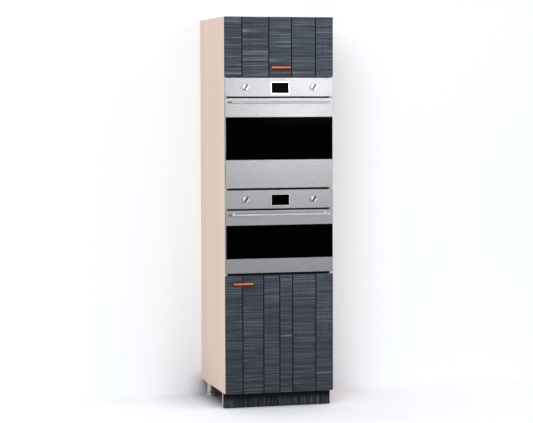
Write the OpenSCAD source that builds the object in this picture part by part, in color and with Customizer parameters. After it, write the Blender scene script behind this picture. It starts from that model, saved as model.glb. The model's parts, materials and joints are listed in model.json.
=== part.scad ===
// Tall housing for two built-in ovens: a 600 mm wide carcass on levelling legs, with a lift-up
// locker flap above, two built-in ovens in the middle and a right-hung cupboard door below.
// Millimetres. X runs along the front, +Y to the back, +Z up. The origin is on the floor, in the
// middle of the footprint. Inside in_unit(), Y = 0 is the front edge of the carcass and Z = 0 is
// the underside of its side panels.

/* [Carcass] */
// Width over the side panels
unit_w = 600; // [560:5:900]
// Depth of the side panels
unit_d = 560; // [550:5:650]
// Height of the side panels
side_h = 2015; // [2000:5:2200]
// Thickness of the carcass boards
board = 16; // [15:0.5:19]
// Height of the adjustable legs
leg_h = 85; // [75:1:160]
// Thickness of the back panels
back_t = 8; // [3:0.5:8]
// Distance from the back panels to the rear edge
back_inset = 20; // [18:1:30]
// Depth of the grooves that hold the back panels
groove_depth = 6; // [4:0.5:8]
// Play of a back panel in its groove, each side
groove_play = 0.2; // [0.1:0.1:0.4]
// Height of the stretcher rails behind the ovens
rail_h = 100; // [60:5:140]
// Set-back of the shelves that carry the ovens
shelf_setback = 22; // [21:1:30]
// Height of the cupboard shelf above the side panels' underside
cupboard_shelf_z = 300; // [200:5:380]

/* [Fittings] */
// Radius of the shelf pins
pin_r = 2.5; // [2:0.1:3]
// Length of a shelf pin inside its hole
pin_in = 8; // [6:0.5:10]
// Length of a shelf pin under the shelf
pin_out = 8; // [6:0.5:12]
// Spacing of the shelf pin holes
pin_pitch = 32; // [25:1:40]
// Radius of the cam fasteners
cam_r = 7.5; // [6:0.5:10]
// Depth of the cam fasteners
cam_depth = 12; // [9:0.5:13]
// Size of a wall bracket along each leg
bracket_leg = 45; // [35:1:60]
// Radius of the wall screw holes
wall_hole_r = 4.2; // [3:0.1:6]
// Distance of a wall screw hole from the side panel
wall_hole_x = 25; // [18:1:30]
// Distance of the wall screw holes below the top panel
wall_hole_drop = 60; // [40:1:100]

/* [Plinth and legs] */
// Set-back of the plinth board from the carcass front
plinth_setback = 40; // [30:1:60]
// Thickness of the plinth's dark facing
plinth_facing = 18; // [15:0.5:20]
// Gap between the plinth's facing and the floor
plinth_floor_gap = 1.5; // [1:0.5:4]
// Gap between the plinth's backing board and the floor
backing_floor_gap = 13; // [8:0.5:20]
// Gap between the plinth board and the carcass
plinth_top_gap = 3; // [1:0.5:6]
// Radius of a leg column
leg_r = 19; // [14:0.5:20]
// Radius of a leg's top flange
leg_flange_r = 30; // [25:1:33]
// Radius of a foot's cup
foot_r = 25; // [20:1:30]
// Height of a foot's cup
foot_h = 20; // [12:1:22]
// Radius of a foot's stem
stem_r = 9; // [6:0.5:10]
// Distance of the legs from the outer face of a side panel
leg_inset_x = 34; // [34:1:60]
// Distance of the rear legs from the rear edge
leg_inset_y = 70; // [50:1:100]
// Gap between a front leg's flange and the plinth
leg_plinth_gap = 2; // [1:0.5:15]
// Levelling travel of a foot
foot_travel = 20; // [10:1:20]

/* [Wooden fronts] */
// Thickness of the wooden fronts
front_t = 18; // [17:0.5:22]
// Distance of the fronts' side edges inside the outer faces of the side panels
front_reveal = 2; // [1:0.5:4]
// Gap between a wooden front and the carcass
door_gap = 2.5; // [2.2:0.1:4]
// Height of the base cupboard door
base_door_h = 635.5; // [600:0.5:636]
// Gap between the locker flap and the upper oven's front
flap_oven_gap = 6; // [4:0.5:10]
// Gap above the locker flap
flap_top_gap = 1; // [0.5:0.5:4]
// Width of the board joints on the fronts
groove_w = 6.5; // [4:0.5:8]
// Depth of the board joints on the fronts
groove_cut = 3.2; // [2:0.1:3.4]
// Width of a pull handle
pull_w = 104; // [80:1:140]
// Height of a pull handle
pull_h = 22; // [21:0.5:30]
// Height of a pull handle's hood
pull_hood = 11.5; // [9:0.5:12]
// Height and depth of a pull handle's lip
pull_lip = 5; // [3:0.5:6]
// Reach of a pull handle's hood
pull_out = 18.5; // [16:0.5:26]
// Wall thickness of a pull handle
pull_t = 2.4; // [1.5:0.1:3]
// Middle of the flap's pull
flap_pull_x = 5; // [-60:1:60]
// Height of the flap's pull above the flap's lower edge
flap_pull_z = 34; // [15:1:200]
// Distance of the base pull from the door's left edge
base_pull_x = 42; // [20:1:120]
// Distance of the base pull's top from the door's top edge
base_pull_drop = 37; // [15:1:150]

/* [Cup hinges and stays] */
// Radius of a hinge cup
cup_r = 17.5; // [17:0.1:18]
// Depth of a hinge cup
cup_depth = 14.4; // [14.2:0.1:15]
// Distance from the front's edge to the cup
cup_edge = 3; // [2.5:0.1:3.2]
// Hinge pin: distance from the front's edge
hinge_u = 7; // [6.8:0.1:7.2]
// Hinge pin: depth inside the front's rear face
hinge_v = 11; // [10.8:0.1:11.2]
// Distance of the base door hinges from its top and bottom
base_hinge_inset = 90; // [60:1:140]
// Distance of the flap hinges from the flap's side edges
flap_hinge_inset = 158; // [130:1:185]
// Length of a hinge arm behind the front's rear face
hinge_arm_l = 62; // [55:1:70]
// Length of a hinge's mounting plate
hinge_plate_w = 48; // [44:1:56]
// Stay stud on the flap: distance behind the flap's rear face
stay_stud_out = 15; // [14:0.5:18]
// Stay stud on the flap: distance below the flap's hinge axis
stay_stud_drop = 56; // [50:1:70]
// Stay pivot on the carcass: depth behind the flap's hinge axis
stay_pivot_y = 240; // [225:1:300]
// Stay pivot on the carcass: distance below the flap's hinge axis
stay_pivot_drop = 65; // [60:1:80]
// Radius of a stay's tube
stay_tube_r = 9; // [8:0.5:10]
// Radius of a stay's rod
stay_rod_r = 4; // [3:0.5:5]
// Length of a stay's tube from its pivot
stay_tube_l = 140; // [130:1:150]

/* [Ovens] */
// Height of the upper oven's front
upper_oven_h = 595; // [580:1:600]
// Height of the lower oven's front
lower_oven_h = 455; // [450:1:470]
// Gap between the base door and the lower oven's front
base_oven_gap = 1.5; // [1:0.5:3]
// Gap between the two oven fronts
oven_gap = 3; // [2:0.5:4]
// Distance from an oven front's lower edge to the lower oven's shelf
lower_seat = 3; // [2:0.5:5]
// Distance from the upper oven front's lower edge to its shelf
upper_seat = 9; // [8:0.5:10]
// Height of the lower oven's niche
lower_niche_h = 448; // [445:1:450]
// Depth of the oven bodies behind their frames
oven_body_d = 500; // [460:5:515]
// Clearance between an oven and its niche
oven_play = 5; // [3:0.5:8]
// Height of a control panel
control_h = 98.5; // [90:0.5:110]
// Gap between a control panel and the oven door
control_gap = 9.5; // [8:0.5:12]
// Height of the vent trim under the upper oven's door
upper_trim_h = 8.5; // [8:0.5:12]
// Height of the vent trim under the lower oven's door
lower_trim_h = 12; // [8:0.5:16]
// Distance of the oven fronts before the carcass
oven_proud = 22; // [20:0.5:26]
// Sheet thickness of a control panel
sheet = 2; // [1:0.1:2.5]
// Distance of an oven cavity from the outer faces of the side panels
cavity_side = 65; // [60:1:90]
// Depth of an oven cavity
cavity_d = 400; // [350:5:420]
// How much lower the upper oven's cavity is than its front
upper_cavity_less = 245; // [235:5:295]
// How much lower the lower oven's cavity is than its front
lower_cavity_less = 240; // [235:5:270]
// Height of a cavity floor above the oven's underside
cavity_floor = 58; // [50:1:65]
// Radius of the rack guide beads
bead_r = 6; // [5:0.5:7]
// Spacing of the rack guide beads
bead_pitch = 56; // [50:1:70]
// Wall of the cavity liner and of the casing
skin = 1.2; // [0.8:0.1:1.6]

/* [Oven doors] */
// Height of the upper oven's window band
upper_window_h = 228.5; // [180:0.5:260]
// Distance from the upper oven door's top to the window band
upper_window_drop = 100; // [70:0.5:120]
// Height of the lower oven's window band
lower_window_h = 179.5; // [140:0.5:200]
// Distance from the lower oven door's top to the window band
lower_window_drop = 79; // [60:0.5:90]
// Depth of a door's outer panel
door_skin_t = 17; // [16:0.5:18]
// Sheet thickness of a door's panels
door_sheet = 1.5; // [1:0.1:2]
// Thickness of the glass panes
glass_t = 4; // [3:0.5:5]
// Margin of a door's panel beside the window band
window_margin = 2; // [1.8:0.1:4]
// Distance of the doors' inner frames from the side edges of the fronts
inner_side = 22; // [20:1:33]
// Hinge pin of an oven door above its lower edge
door_pin_z = 8; // [7:0.5:8]
// Hinge pin of an oven door behind its front face
door_pin_y = 12; // [11:0.5:12]
// Radius of the oven doors' hinge pins
door_pin_r = 3; // [2.5:0.1:3.5]
// Distance of the oven door hinges from the side edges of the fronts
door_hinge_side = 43; // [38:1:50]
// Reach of a bar handle from the oven door to its front
bar_reach = 48; // [40:1:60]
// Radius of a bar handle
bar_r = 6; // [5:0.5:8]
// Distance of a bar handle's ends from the side edges of the fronts
bar_side = 29; // [18:1:98]
// Distance of a bar handle below the oven door's top
bar_drop = 21; // [15:1:40]

/* [Controls] */
// Width of a display
display_w = 94.5; // [70:0.5:140]
// Height of a display
display_h = 54; // [40:0.5:60]
// Offset of the displays from the middle
display_x = 4; // [-20:1:20]
// Distance of the displays below the middle of the panel
display_drop = 4; // [0:0.5:8]
// Distance of the knobs from the side edges of the fronts
knob_side = 110; // [68:1:178]
// Radius of a knob
knob_r = 17; // [14:0.5:20]
// Height of a knob
knob_h = 22; // [16:0.5:26]
// Radius of a knob's spindle
spindle_r = 3; // [2.5:0.1:4]
// Turn of the knobs' grips from the upright
knob_turn = 30; // [0:5:90]

/* [Hidden] */
$fn = 48;
eps = 1;
run = 0.05;
seat = 0.3;
in_x = unit_w / 2 - board;
front_w = unit_w - 2 * front_reveal;
flap_hinge_x = front_w / 2 - flap_hinge_inset;
cavity_w = unit_w - 2 * cavity_side;
inner_w = front_w - 2 * inner_side;
door_hinge_x = front_w / 2 - door_hinge_side;
bar_l = front_w - 2 * bar_side;
knob_x = front_w / 2 - knob_side;
// Middle of the board joints, as shares of the fronts' width right of the middle
flap_joints = [-0.3435, -0.0956, 0.1141, 0.337] * front_w;
base_joints = [-0.344, -0.1495, 0, 0.1208, 0.338] * front_w;

front_y = -(unit_d - oven_proud - bar_reach) / 2;
groove_y = unit_d - back_inset - back_t - groove_play;
back_y = groove_y + groove_play;
front_back_y = -door_gap;
front_face_y = -door_gap - front_t;

lower_front_z = base_door_h + base_oven_gap;
upper_front_z = lower_front_z + lower_oven_h + oven_gap;
lower_shelf_top = lower_front_z + lower_seat;
upper_shelf_top = upper_front_z + upper_seat;
locker_shelf_z = upper_front_z + upper_oven_h;
flap_top = side_h - flap_top_gap;
flap_bottom = locker_shelf_z + flap_oven_gap;
lower_rail_z = lower_shelf_top + lower_niche_h;

// Each oven: front's lower edge, front height, seat height, body height, trim height,
// cavity height, window height, window drop, number of rack levels
LOWER = [lower_front_z, lower_oven_h, lower_shelf_top, lower_niche_h - oven_play - 3, lower_trim_h,
         lower_oven_h - lower_cavity_less, lower_window_h, lower_window_drop, 3];
UPPER = [upper_front_z, upper_oven_h, upper_shelf_top, upper_oven_h - upper_seat - oven_play - 3,
         upper_trim_h, upper_oven_h - upper_cavity_less, upper_window_h, upper_window_drop, 5];
function front_z(o) = o[0];
function front_top(o) = o[0] + o[1];
function seat_z(o) = o[2];
function body_h(o) = o[3];
function door_z(o) = o[0] + o[4];
function door_top(o) = front_top(o) - control_h - control_gap;
function control_z(o) = front_top(o) - control_h;
function control_mid(o) = control_z(o) + control_h / 2;
function cavity_z(o) = o[2] + cavity_floor;
function cavity_h(o) = o[5];
function window_h(o) = o[6];
function window_z(o) = door_top(o) - o[7] - o[6];
function levels(o) = o[8];
function pin_z(o) = door_z(o) + door_pin_z;
function bead_z(o, i) = cavity_z(o) + 40 + i * bead_pitch;
pin_y = -oven_proud + door_pin_y;
frame_y = 16;
body_y = frame_y + glass_t;
frame_x = in_x - 1.5;
casing_x = in_x - oven_play;
skin_back_y = -oven_proud + door_skin_t;
inner_back_y = 12.6;

leg_x = unit_w / 2 - leg_inset_x;
plinth_y = [plinth_setback, plinth_setback + plinth_facing, plinth_setback + plinth_facing + board];
leg_ys = [plinth_y[2] + leg_plinth_gap + leg_flange_r, unit_d - leg_inset_y];
column_bottom = -leg_h + foot_h + 2;

// Flap hinge axis and stay geometry, in the carcass's Y and Z
flap_axis = [-door_gap - hinge_v, flap_top - hinge_u];
stay_stud = [front_back_y + stay_stud_out, flap_axis[1] - stay_stud_drop];
stay_pivot = [flap_axis[0] + stay_pivot_y, flap_axis[1] - stay_pivot_drop];
stay_run = stay_stud - stay_pivot;
stay_l = norm(stay_run);
stay_angle = atan2(stay_run[1], stay_run[0]);
stay_x = in_x - 12;
stay_eye_w = 8;

oak = [0.86, 0.78, 0.72];
blue_wood = [0.28, 0.31, 0.36];
steel = [0.75, 0.75, 0.77];
chrome = [0.85, 0.85, 0.87];
dark = [0.06, 0.06, 0.07];
enamel = [0.16, 0.17, 0.2];
copper = [0.8, 0.5, 0.38];

// ---------- helpers ----------

// A range of numbers around a middle
function around(middle, half) = [middle - half, middle + half];

module in_unit() translate([0, front_y, leg_h]) children();

module box(x, y, z) translate([x[0], y[0], z[0]]) cube([x[1] - x[0], y[1] - y[0], z[1] - z[0]]);

// A profile drawn in Y and Z, run along X
module along_x(x) translate([x[0], 0, 0]) rotate([90, 0, 90]) linear_extrude(x[1] - x[0]) children();

// A profile drawn in X and Z, run along Y
module along_y(y) translate([0, y[1], 0]) rotate([90, 0, 0]) linear_extrude(y[1] - y[0]) children();

module rod_x(x, y, z, r) translate([x[0], y, z]) rotate([0, 90, 0]) cylinder(r = r, h = x[1] - x[0]);
module rod_y(x, y, z, r) translate([x, y[0], z]) rotate([-90, 0, 0]) cylinder(r = r, h = y[1] - y[0]);
module both_sides() for (s = [0, 1]) mirror([s, 0, 0]) children();

module round_rect(x, z, r) {
    translate([x[0] + r, z[0]]) square([x[1] - x[0] - 2 * r, z[1] - z[0]]);
    translate([x[0], z[0] + r]) square([x[1] - x[0], z[1] - z[0] - 2 * r]);
    for (px = [x[0] + r, x[1] - r], pz = [z[0] + r, z[1] - r]) translate([px, pz]) circle(r);
}

// ---------- carcass ----------

pin_inset = 60;
pin_ys = [pin_inset, groove_y - pin_inset];
cam_inset = 130;
cam_ys = [cam_inset + 20, unit_d - cam_inset];
cam_x = in_x - 24;

module side_board() difference() {
    box([in_x, unit_w / 2], [0, unit_d], [0, side_h]);
    box([in_x - eps, in_x + groove_depth], [groove_y, groove_y + back_t + 2 * groove_play],
        [-eps, side_h + eps]);
    for (y = pin_ys, i = [-2 : 2])
        rod_x([in_x - eps, in_x + pin_in + seat], y, cupboard_shelf_z - pin_r + i * pin_pitch,
              pin_r + run);
}
module side_panel_left() color(oak) mirror([1, 0, 0]) side_board();
module side_panel_right() color(oak) side_board();

// A horizontal board between the sides; z is its underside
module deck(y0, z) difference() {
    box([-in_x, in_x], [y0, unit_d], [z, z + board]);
    both_sides() for (y = cam_ys) translate([cam_x, y, z - eps]) cylinder(r = cam_r, h = cam_depth + eps);
}
module deck_groove(z) box([-in_x - eps, in_x + eps], [groove_y, groove_y + back_t + 2 * groove_play], z);

module top_panel() color(oak) difference() {
    deck(0, side_h - board);
    deck_groove([side_h - board - eps, side_h - board + groove_depth]);
}
module bottom_panel() color(oak) difference() {
    deck(0, 0);
    deck_groove([board - groove_depth, board + eps]);
}
module locker_shelf() color(oak) difference() {
    deck(0, locker_shelf_z);
    deck_groove([locker_shelf_z + board - groove_depth, locker_shelf_z + board + eps]);
}
module middle_oven_shelf() color(oak) deck(shelf_setback, upper_shelf_top - board);
module lower_oven_shelf() color(oak) difference() {
    deck(shelf_setback, lower_shelf_top - board);
    deck_groove([lower_shelf_top - board - eps, lower_shelf_top - board + groove_depth]);
}
module cupboard_shelf() color(oak)
    box([-in_x + 1, in_x - 1], [20, groove_y - 2], [cupboard_shelf_z, cupboard_shelf_z + board]);

module shelf_pins() color(chrome) both_sides() for (y = pin_ys) {
    rod_x([in_x - pin_out, in_x + pin_in], y, cupboard_shelf_z - pin_r, pin_r);
    rod_x([in_x - 2, in_x], y, cupboard_shelf_z - pin_r - 1, pin_r + 0.9);
}

module back_panels() color(oak) difference() {
    x = in_x + groove_depth - seat;
    union() {
        box([-x, x], [back_y, back_y + back_t],
            [board - groove_depth + seat, lower_shelf_top - board + groove_depth - seat]);
        box([-x, x], [back_y, back_y + back_t],
            [locker_shelf_z + board - groove_depth + seat, side_h - board + groove_depth - seat]);
    }
    both_sides() rod_y(in_x - wall_hole_x, [back_y - eps, back_y + back_t + eps], wall_hole_z, wall_hole_r);
}

module back_rails() color(oak) for (z = [lower_rail_z, locker_shelf_z])
    box([-in_x, in_x], [unit_d - board, unit_d], [z - rail_h, z]);

module cam_fasteners() color(steel)
    for (z = [0, lower_shelf_top - board, upper_shelf_top - board, locker_shelf_z, side_h - board])
        both_sides() for (y = cam_ys) translate([cam_x, y, z]) difference() {
            cylinder(r = cam_r, h = cam_depth);
            for (a = [0, 90]) rotate(a) translate([-5, -0.8, -eps]) cube([10, 1.6, 3 + eps]);
        }

wall_hole_z = side_h - board - wall_hole_drop;
bracket_half = 20;
module wall_brackets() color(steel) both_sides() difference() {
    union() {
        box([in_x - 3, in_x], [back_y - bracket_leg, back_y], around(wall_hole_z, bracket_half));
        box([in_x - bracket_leg, in_x], [back_y - 3, back_y], around(wall_hole_z, bracket_half));
    }
    rod_y(in_x - wall_hole_x, [back_y - 3 - eps, back_y + eps], wall_hole_z, wall_hole_r);
}

// ---------- plinth and legs ----------

// A dark facing that nearly reaches the floor, glued to a shorter backing board
module plinth_board() color(dark) along_x(around(0, front_w / 2 - 1)) {
    translate([plinth_y[0], -leg_h + plinth_floor_gap])
        square([plinth_facing, leg_h - plinth_floor_gap - plinth_top_gap]);
    translate([plinth_y[1] - eps, -leg_h + backing_floor_gap])
        square([board + eps, leg_h - backing_floor_gap - plinth_top_gap]);
}

clip_h = 20;
clip_z = [-leg_h + 1.5 * clip_h, -leg_h + 2.5 * clip_h];
module plinth_clips() color(dark) both_sides() translate([leg_x, leg_ys[0], 0]) {
    rear = plinth_y[2] - leg_ys[0];
    box([-20, 20], [rear, rear + 3], [clip_z[0] - 6, clip_z[1] + 6]);
    box([-4, 4], [rear + 3, -leg_r - 1], clip_z);
    difference() {
        translate([0, 0, clip_z[0]]) cylinder(r = leg_r + 3, h = clip_z[1] - clip_z[0]);
        translate([0, 0, clip_z[0] - eps])
            cylinder(r = leg_r + 0.2, h = clip_z[1] - clip_z[0] + 2 * eps);
        box([-2 * leg_r, 2 * leg_r], [leg_r / 2, 2 * leg_r], [clip_z[0] - eps, clip_z[1] + eps]);
    }
}

module leg_columns() color(chrome) both_sides() for (y = leg_ys) translate([leg_x, y, 0])
    rotate_extrude() difference() {
        union() {
            translate([0, -5]) square([leg_flange_r, 5]);
            translate([0, -14]) square([leg_r + 4, 9]);
            translate([0, column_bottom]) square([leg_r, -column_bottom - 5]);
            translate([0, column_bottom]) square([leg_r + 2, 6]);
        }
        translate([-eps, column_bottom - eps]) square([stem_r + run + eps, -column_bottom - 10]);
    }

stem_l = 2 * foot_travel;
module foot(x, y) color(chrome) translate([x, y, -leg_h]) rotate_extrude()
    polygon([[0, 0], [foot_r - 1, 0], [foot_r, 1], [foot_r - 1, foot_h - 3], [foot_r - 4, foot_h],
             [stem_r, foot_h], [stem_r, foot_h + stem_l], [0, foot_h + stem_l]]);
module foot_front_left() foot(-leg_x, leg_ys[0]);
module foot_front_right() foot(leg_x, leg_ys[0]);
module foot_back_left() foot(-leg_x, leg_ys[1]);
module foot_back_right() foot(leg_x, leg_ys[1]);

// ---------- wooden fronts ----------

// A front made of boards: flat back, V joints between the boards on its face
module boarded_front(z, joints) difference() {
    box([-front_w / 2, front_w / 2], [front_face_y, front_back_y], z);
    for (x = joints) translate([x, front_face_y, z[0] - eps]) linear_extrude(z[1] - z[0] + 2 * eps)
        polygon([[-groove_w / 2, -eps], [-groove_w / 2, 0], [-groove_w / 4, groove_cut],
                 [groove_w / 4, groove_cut], [groove_w / 2, 0], [groove_w / 2, -eps]]);
}

// Places a hinge drawn in its own axes: X into the front from its edge, Y to the back from the
// front's rear face, Z along the hinge axis
module flap_hinges() for (s = [-1, 1]) translate([s * flap_hinge_x, front_back_y, flap_top])
    rotate([0, 90, 0]) children();
module base_hinges() for (z = [base_hinge_inset, base_door_h - base_hinge_inset])
    translate([front_w / 2, front_back_y, z]) mirror([1, 0, 0]) children();

cup_u = cup_edge + cup_r;
cup_wall = 0.9;
cup_floor = 0.6;
hinge_pin_r = 1.1;
knuckle_r = 2.2;
neck_w = 7;
neck_relief = 1.2;
arm_w = 12;
screw_hole_r = 2.2;
screw_edge = 8;
arm_u = [hinge_u + 12, hinge_u + 18];

module cup_pocket() translate([cup_u, -cup_depth - 0.1, 0]) rotate([-90, 0, 0])
    cylinder(r = cup_r + 0.1, h = cup_depth + 0.1 + eps);

module hinge_cup() {
    difference() {
        union() {
            translate([cup_u, -cup_depth, 0]) rotate([-90, 0, 0]) cylinder(r = cup_r, h = cup_depth);
            box([cup_u - 9, cup_u + 9], [0, 1.2], [-32, 32]);
        }
        translate([cup_u, -cup_depth + cup_floor, 0]) rotate([-90, 0, 0])
            cylinder(r = cup_r - cup_wall, h = cup_depth + 2);
        for (w = [-24, 24]) rotate([-90, 0, 0]) translate([cup_u, -w, -eps]) cylinder(r = 2, h = 4);
    }
    translate([hinge_u, -hinge_v, -10.2]) cylinder(r = hinge_pin_r, h = 20.4);
}

// The front covers the edge of the board that carries the arm by overlay
module hinge_arm(overlay) difference() {
    union() {
        translate([0, 0, -neck_w / 2]) linear_extrude(neck_w) {
            translate([hinge_u, -hinge_v]) circle(knuckle_r);
            translate([hinge_u, -hinge_v - knuckle_r])
                square([arm_u[1] - hinge_u, 2 * knuckle_r - neck_relief]);
        }
        box(arm_u, [-hinge_v - knuckle_r, hinge_arm_l], around(0, arm_w / 2));
        box([overlay, arm_u[0]], [door_gap + 10, hinge_arm_l - 4], around(0, arm_w / 2));
        box([overlay, overlay + 2], [door_gap + 16, hinge_arm_l - 10], around(0, hinge_plate_w / 2));
    }
    translate([hinge_u, -hinge_v, -neck_w]) cylinder(r = hinge_pin_r + run, h = 2 * neck_w);
    for (s = [-1, 1]) rod_x([overlay - eps, overlay + 2 + eps], (door_gap + 6 + hinge_arm_l) / 2,
                            s * (hinge_plate_w / 2 - screw_edge), screw_hole_r);
}

module carcass_hinge_arms() color(steel) {
    flap_hinges() hinge_arm(board - flap_top_gap);
    base_hinges() hinge_arm(board - front_reveal);
}

module flap_panel() color(blue_wood) difference() {
    boarded_front([flap_bottom, flap_top], flap_joints);
    flap_hinges() cup_pocket();
}
module base_door_panel() color(blue_wood) difference() {
    boarded_front([0, base_door_h], base_joints);
    base_hinges() cup_pocket();
}

// Pull: a back plate with a rolled hood above and a small lip below, closed at both ends
module pull_profile() {
    bend = pull_hood / 2;
    square([2, pull_h]);
    square([pull_lip, pull_lip]);
    translate([0, pull_h - pull_t]) square([pull_out - bend, pull_t]);
    translate([pull_out - bend, pull_h - bend]) intersection() {
        difference() { circle(bend); circle(bend - pull_t); }
        square(bend + eps);
    }
    translate([pull_out - pull_t, pull_h - pull_hood]) square([pull_t, pull_hood - bend]);
}
module pull_end() {
    bend = pull_hood / 2;
    square([4, pull_h]);
    translate([0, pull_h - pull_hood]) square([pull_out, pull_hood - bend]);
    translate([0, pull_h - pull_hood]) square([pull_out - bend, pull_hood]);
    translate([pull_out - bend, pull_h - bend]) circle(bend);
}
module pull(x, z) color(copper) translate([x, front_face_y, z]) mirror([0, 1, 0]) {
    along_x([0, pull_w]) pull_profile();
    for (e = [0, pull_w - 2]) along_x([e, e + 2]) pull_end();
}
module flap_pull() pull(flap_pull_x - pull_w / 2, flap_bottom + flap_pull_z);
module base_door_pull() pull(-front_w / 2 + base_pull_x, base_door_h - base_pull_drop - pull_h);

module base_door_cups() color(steel) base_hinges() hinge_cup();

// The flap's cups, and the ears that its gas stays push on
ear_half = 24;
ear_foot = 22;
module flap_fittings() color(steel) {
    flap_hinges() hinge_cup();
    ear = [stay_x - stay_eye_w / 2 - 6, stay_x - stay_eye_w / 2 - 2];
    both_sides() {
        box([ear[0] - ear_foot, ear[1]], [front_back_y, front_back_y + 2],
            around(stay_stud[1], ear_half));
        along_x(ear) {
            translate(stay_stud) circle(7);
            translate([front_back_y, stay_stud[1] - 7]) square([stay_stud_out, 14]);
        }
    }
}

// ---------- gas stays ----------

stay_plate = [12, 26];
module stay_brackets() color(steel) both_sides() {
    difference() {
        box([in_x - 3, in_x], around(stay_pivot[0], stay_plate[0]), around(stay_pivot[1], stay_plate[1]));
        for (s = [-1, 1]) rod_x([in_x - 3 - eps, in_x + eps], stay_pivot[0],
                                stay_pivot[1] + s * (stay_plate[1] - screw_edge), screw_hole_r);
    }
    rod_x([stay_x - stay_eye_w / 2 - 3, in_x - 3], stay_pivot[0], stay_pivot[1], 4);
    rod_x([stay_x - stay_eye_w / 2 - 3, stay_x - stay_eye_w / 2 - 0.5], stay_pivot[0],
          stay_pivot[1], 6);
}

// Draws along the stay's axis: Z runs from the carcass pivot to the flap's ear
module on_stay() both_sides() translate([stay_x, stay_pivot[0], stay_pivot[1]])
    rotate([90 + stay_angle - 180, 0, 0]) children();

stay_guide = 12;
stay_tube_wall = 1;
stay_piston_r = stay_tube_r - stay_tube_wall - 0.1;
stay_eye_r = 5;
module stay_tubes() color(dark) on_stay() {
    rotate_extrude() difference() {
        translate([0, 12]) square([stay_tube_r, stay_tube_l - 12]);
        translate([-eps, 16]) square([stay_tube_r - stay_tube_wall + eps, stay_tube_l - 16 - stay_guide]);
        translate([-eps, 16]) square([stay_rod_r + run + eps, stay_tube_l]);
    }
    difference() {
        union() {
            rotate([0, 90, 0]) translate([0, 0, -stay_eye_w / 2]) cylinder(r = 8, h = stay_eye_w);
            translate([-stay_eye_w / 2, -4, 0]) cube([stay_eye_w, 8, 13]);
        }
        rotate([0, 90, 0]) translate([0, 0, -stay_eye_w]) cylinder(r = 4 + run, h = 2 * stay_eye_w);
    }
}

// The rod and its piston are one turned piece; its eye is cut square where it meets the rod
module stay_rods() color(chrome) on_stay() {
    rotate_extrude() polygon([[0, 20], [stay_piston_r, 20], [stay_piston_r, 26], [stay_rod_r, 26],
                              [stay_rod_r, stay_l - 8], [0, stay_l - 8]]);
    translate([-stay_eye_w / 2, -stay_eye_r, stay_l - 8]) cube([stay_eye_w, 2 * stay_eye_r, 8]);
    translate([-stay_eye_w / 2, 0, stay_l]) rotate([0, 90, 0]) cylinder(r = stay_eye_r, h = stay_eye_w);
}

// ---------- oven bodies ----------

function liner_x() = [-cavity_w / 2 - skin, cavity_w / 2 + skin];
function liner_z(o) = [cavity_z(o) - skin, cavity_z(o) + cavity_h(o) + skin];
liner_r = 14;

module mouth(o, grow) round_rect([-cavity_w / 2 - grow, cavity_w / 2 + grow],
                                 [cavity_z(o) - grow, cavity_z(o) + cavity_h(o) + grow], liner_r + grow);

vent_h = 50;
vent_pitch = 24;
module casing(o) color(steel) difference() {
    box([-casing_x, casing_x], [body_y, body_y + oven_body_d], [seat_z(o), seat_z(o) + body_h(o)]);
    box([-casing_x + skin, casing_x - skin], [body_y - eps, body_y + oven_body_d - skin],
        [seat_z(o) + skin, seat_z(o) + body_h(o) - skin]);
    slots = floor((casing_x - 2 * vent_h) / vent_pitch);
    for (i = [-slots : slots], z = [2 * vent_h, body_h(o) - 2 * vent_h])
        box(around(i * vent_pitch, vent_pitch / 8),
            [body_y + oven_body_d - skin - eps, body_y + oven_body_d + eps],
            around(seat_z(o) + z, vent_h / 2));
}

module insulation(o) color([0.8, 0.78, 0.6]) difference() {
    box([-casing_x + skin, casing_x - skin], [body_y, body_y + oven_body_d - skin],
        [seat_z(o) + skin, seat_z(o) + body_h(o) - skin]);
    along_y([body_y - eps, body_y + cavity_d]) mouth(o, skin);
    both_sides() box(around(door_hinge_x, 9), [body_y - eps, body_y + arm_reach + 4],
                     [pin_z(o) - arm_half - 0.5, pin_z(o) + hook_h - arm_half + 1]);
}

module cavity(o) color(enamel) {
    along_y([body_y, body_y + cavity_d]) {
        difference() { mouth(o, skin); mouth(o, 0); }
        intersection() {
            mouth(o, skin);
            for (s = [-1, 1], i = [0 : levels(o) - 1])
                translate([s * (cavity_w / 2 + 1), bead_z(o, i)]) circle(bead_r);
        }
    }
    along_y([body_y + cavity_d - skin, body_y + cavity_d]) mouth(o, skin / 2);
}

// Black frame behind the door: a plate with the cavity mouth, a vent trim under the door and
// another under the control panel
module frame(o) color(dark) difference() {
    top = front_top(o) - 1;
    union() {
        box([-frame_x, frame_x], [frame_y, body_y], [seat_z(o) + seat, top]);
        box([-frame_x, frame_x], [0, frame_y], [front_z(o), door_z(o) - 2]);
        box([-frame_x, frame_x], [frame_y - 1, body_y], [front_z(o), seat_z(o) + 4]);
        box([-frame_x, frame_x], [0, frame_y], [door_top(o) + 1, control_z(o) + 12]);
        both_sides() box(around(door_hinge_x - 11, 12), [0, frame_y], [control_z(o) + 12, top]);
    }
    along_y([frame_y - eps, body_y + eps]) mouth(o, 0);
    both_sides() box(around(door_hinge_x, 4 + seat), [frame_y - eps, body_y + eps],
                     around(pin_z(o), arm_half + seat));
    vents = floor((frame_x - 38) / 10);
    for (i = [-vents : vents], z = [[door_top(o) + 3, door_top(o) + 7], [front_z(o) + 1.5, door_z(o) - 3.5]])
        box(around(i * 10, 3.5), [-eps, frame_y - 4], z);
}

module seal(o) color(dark) along_y([inner_back_y + seat, frame_y])
    difference() { mouth(o, 18); mouth(o, 10); }
module oven_seals() {
    seal(UPPER);
    seal(LOWER);
}

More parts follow.
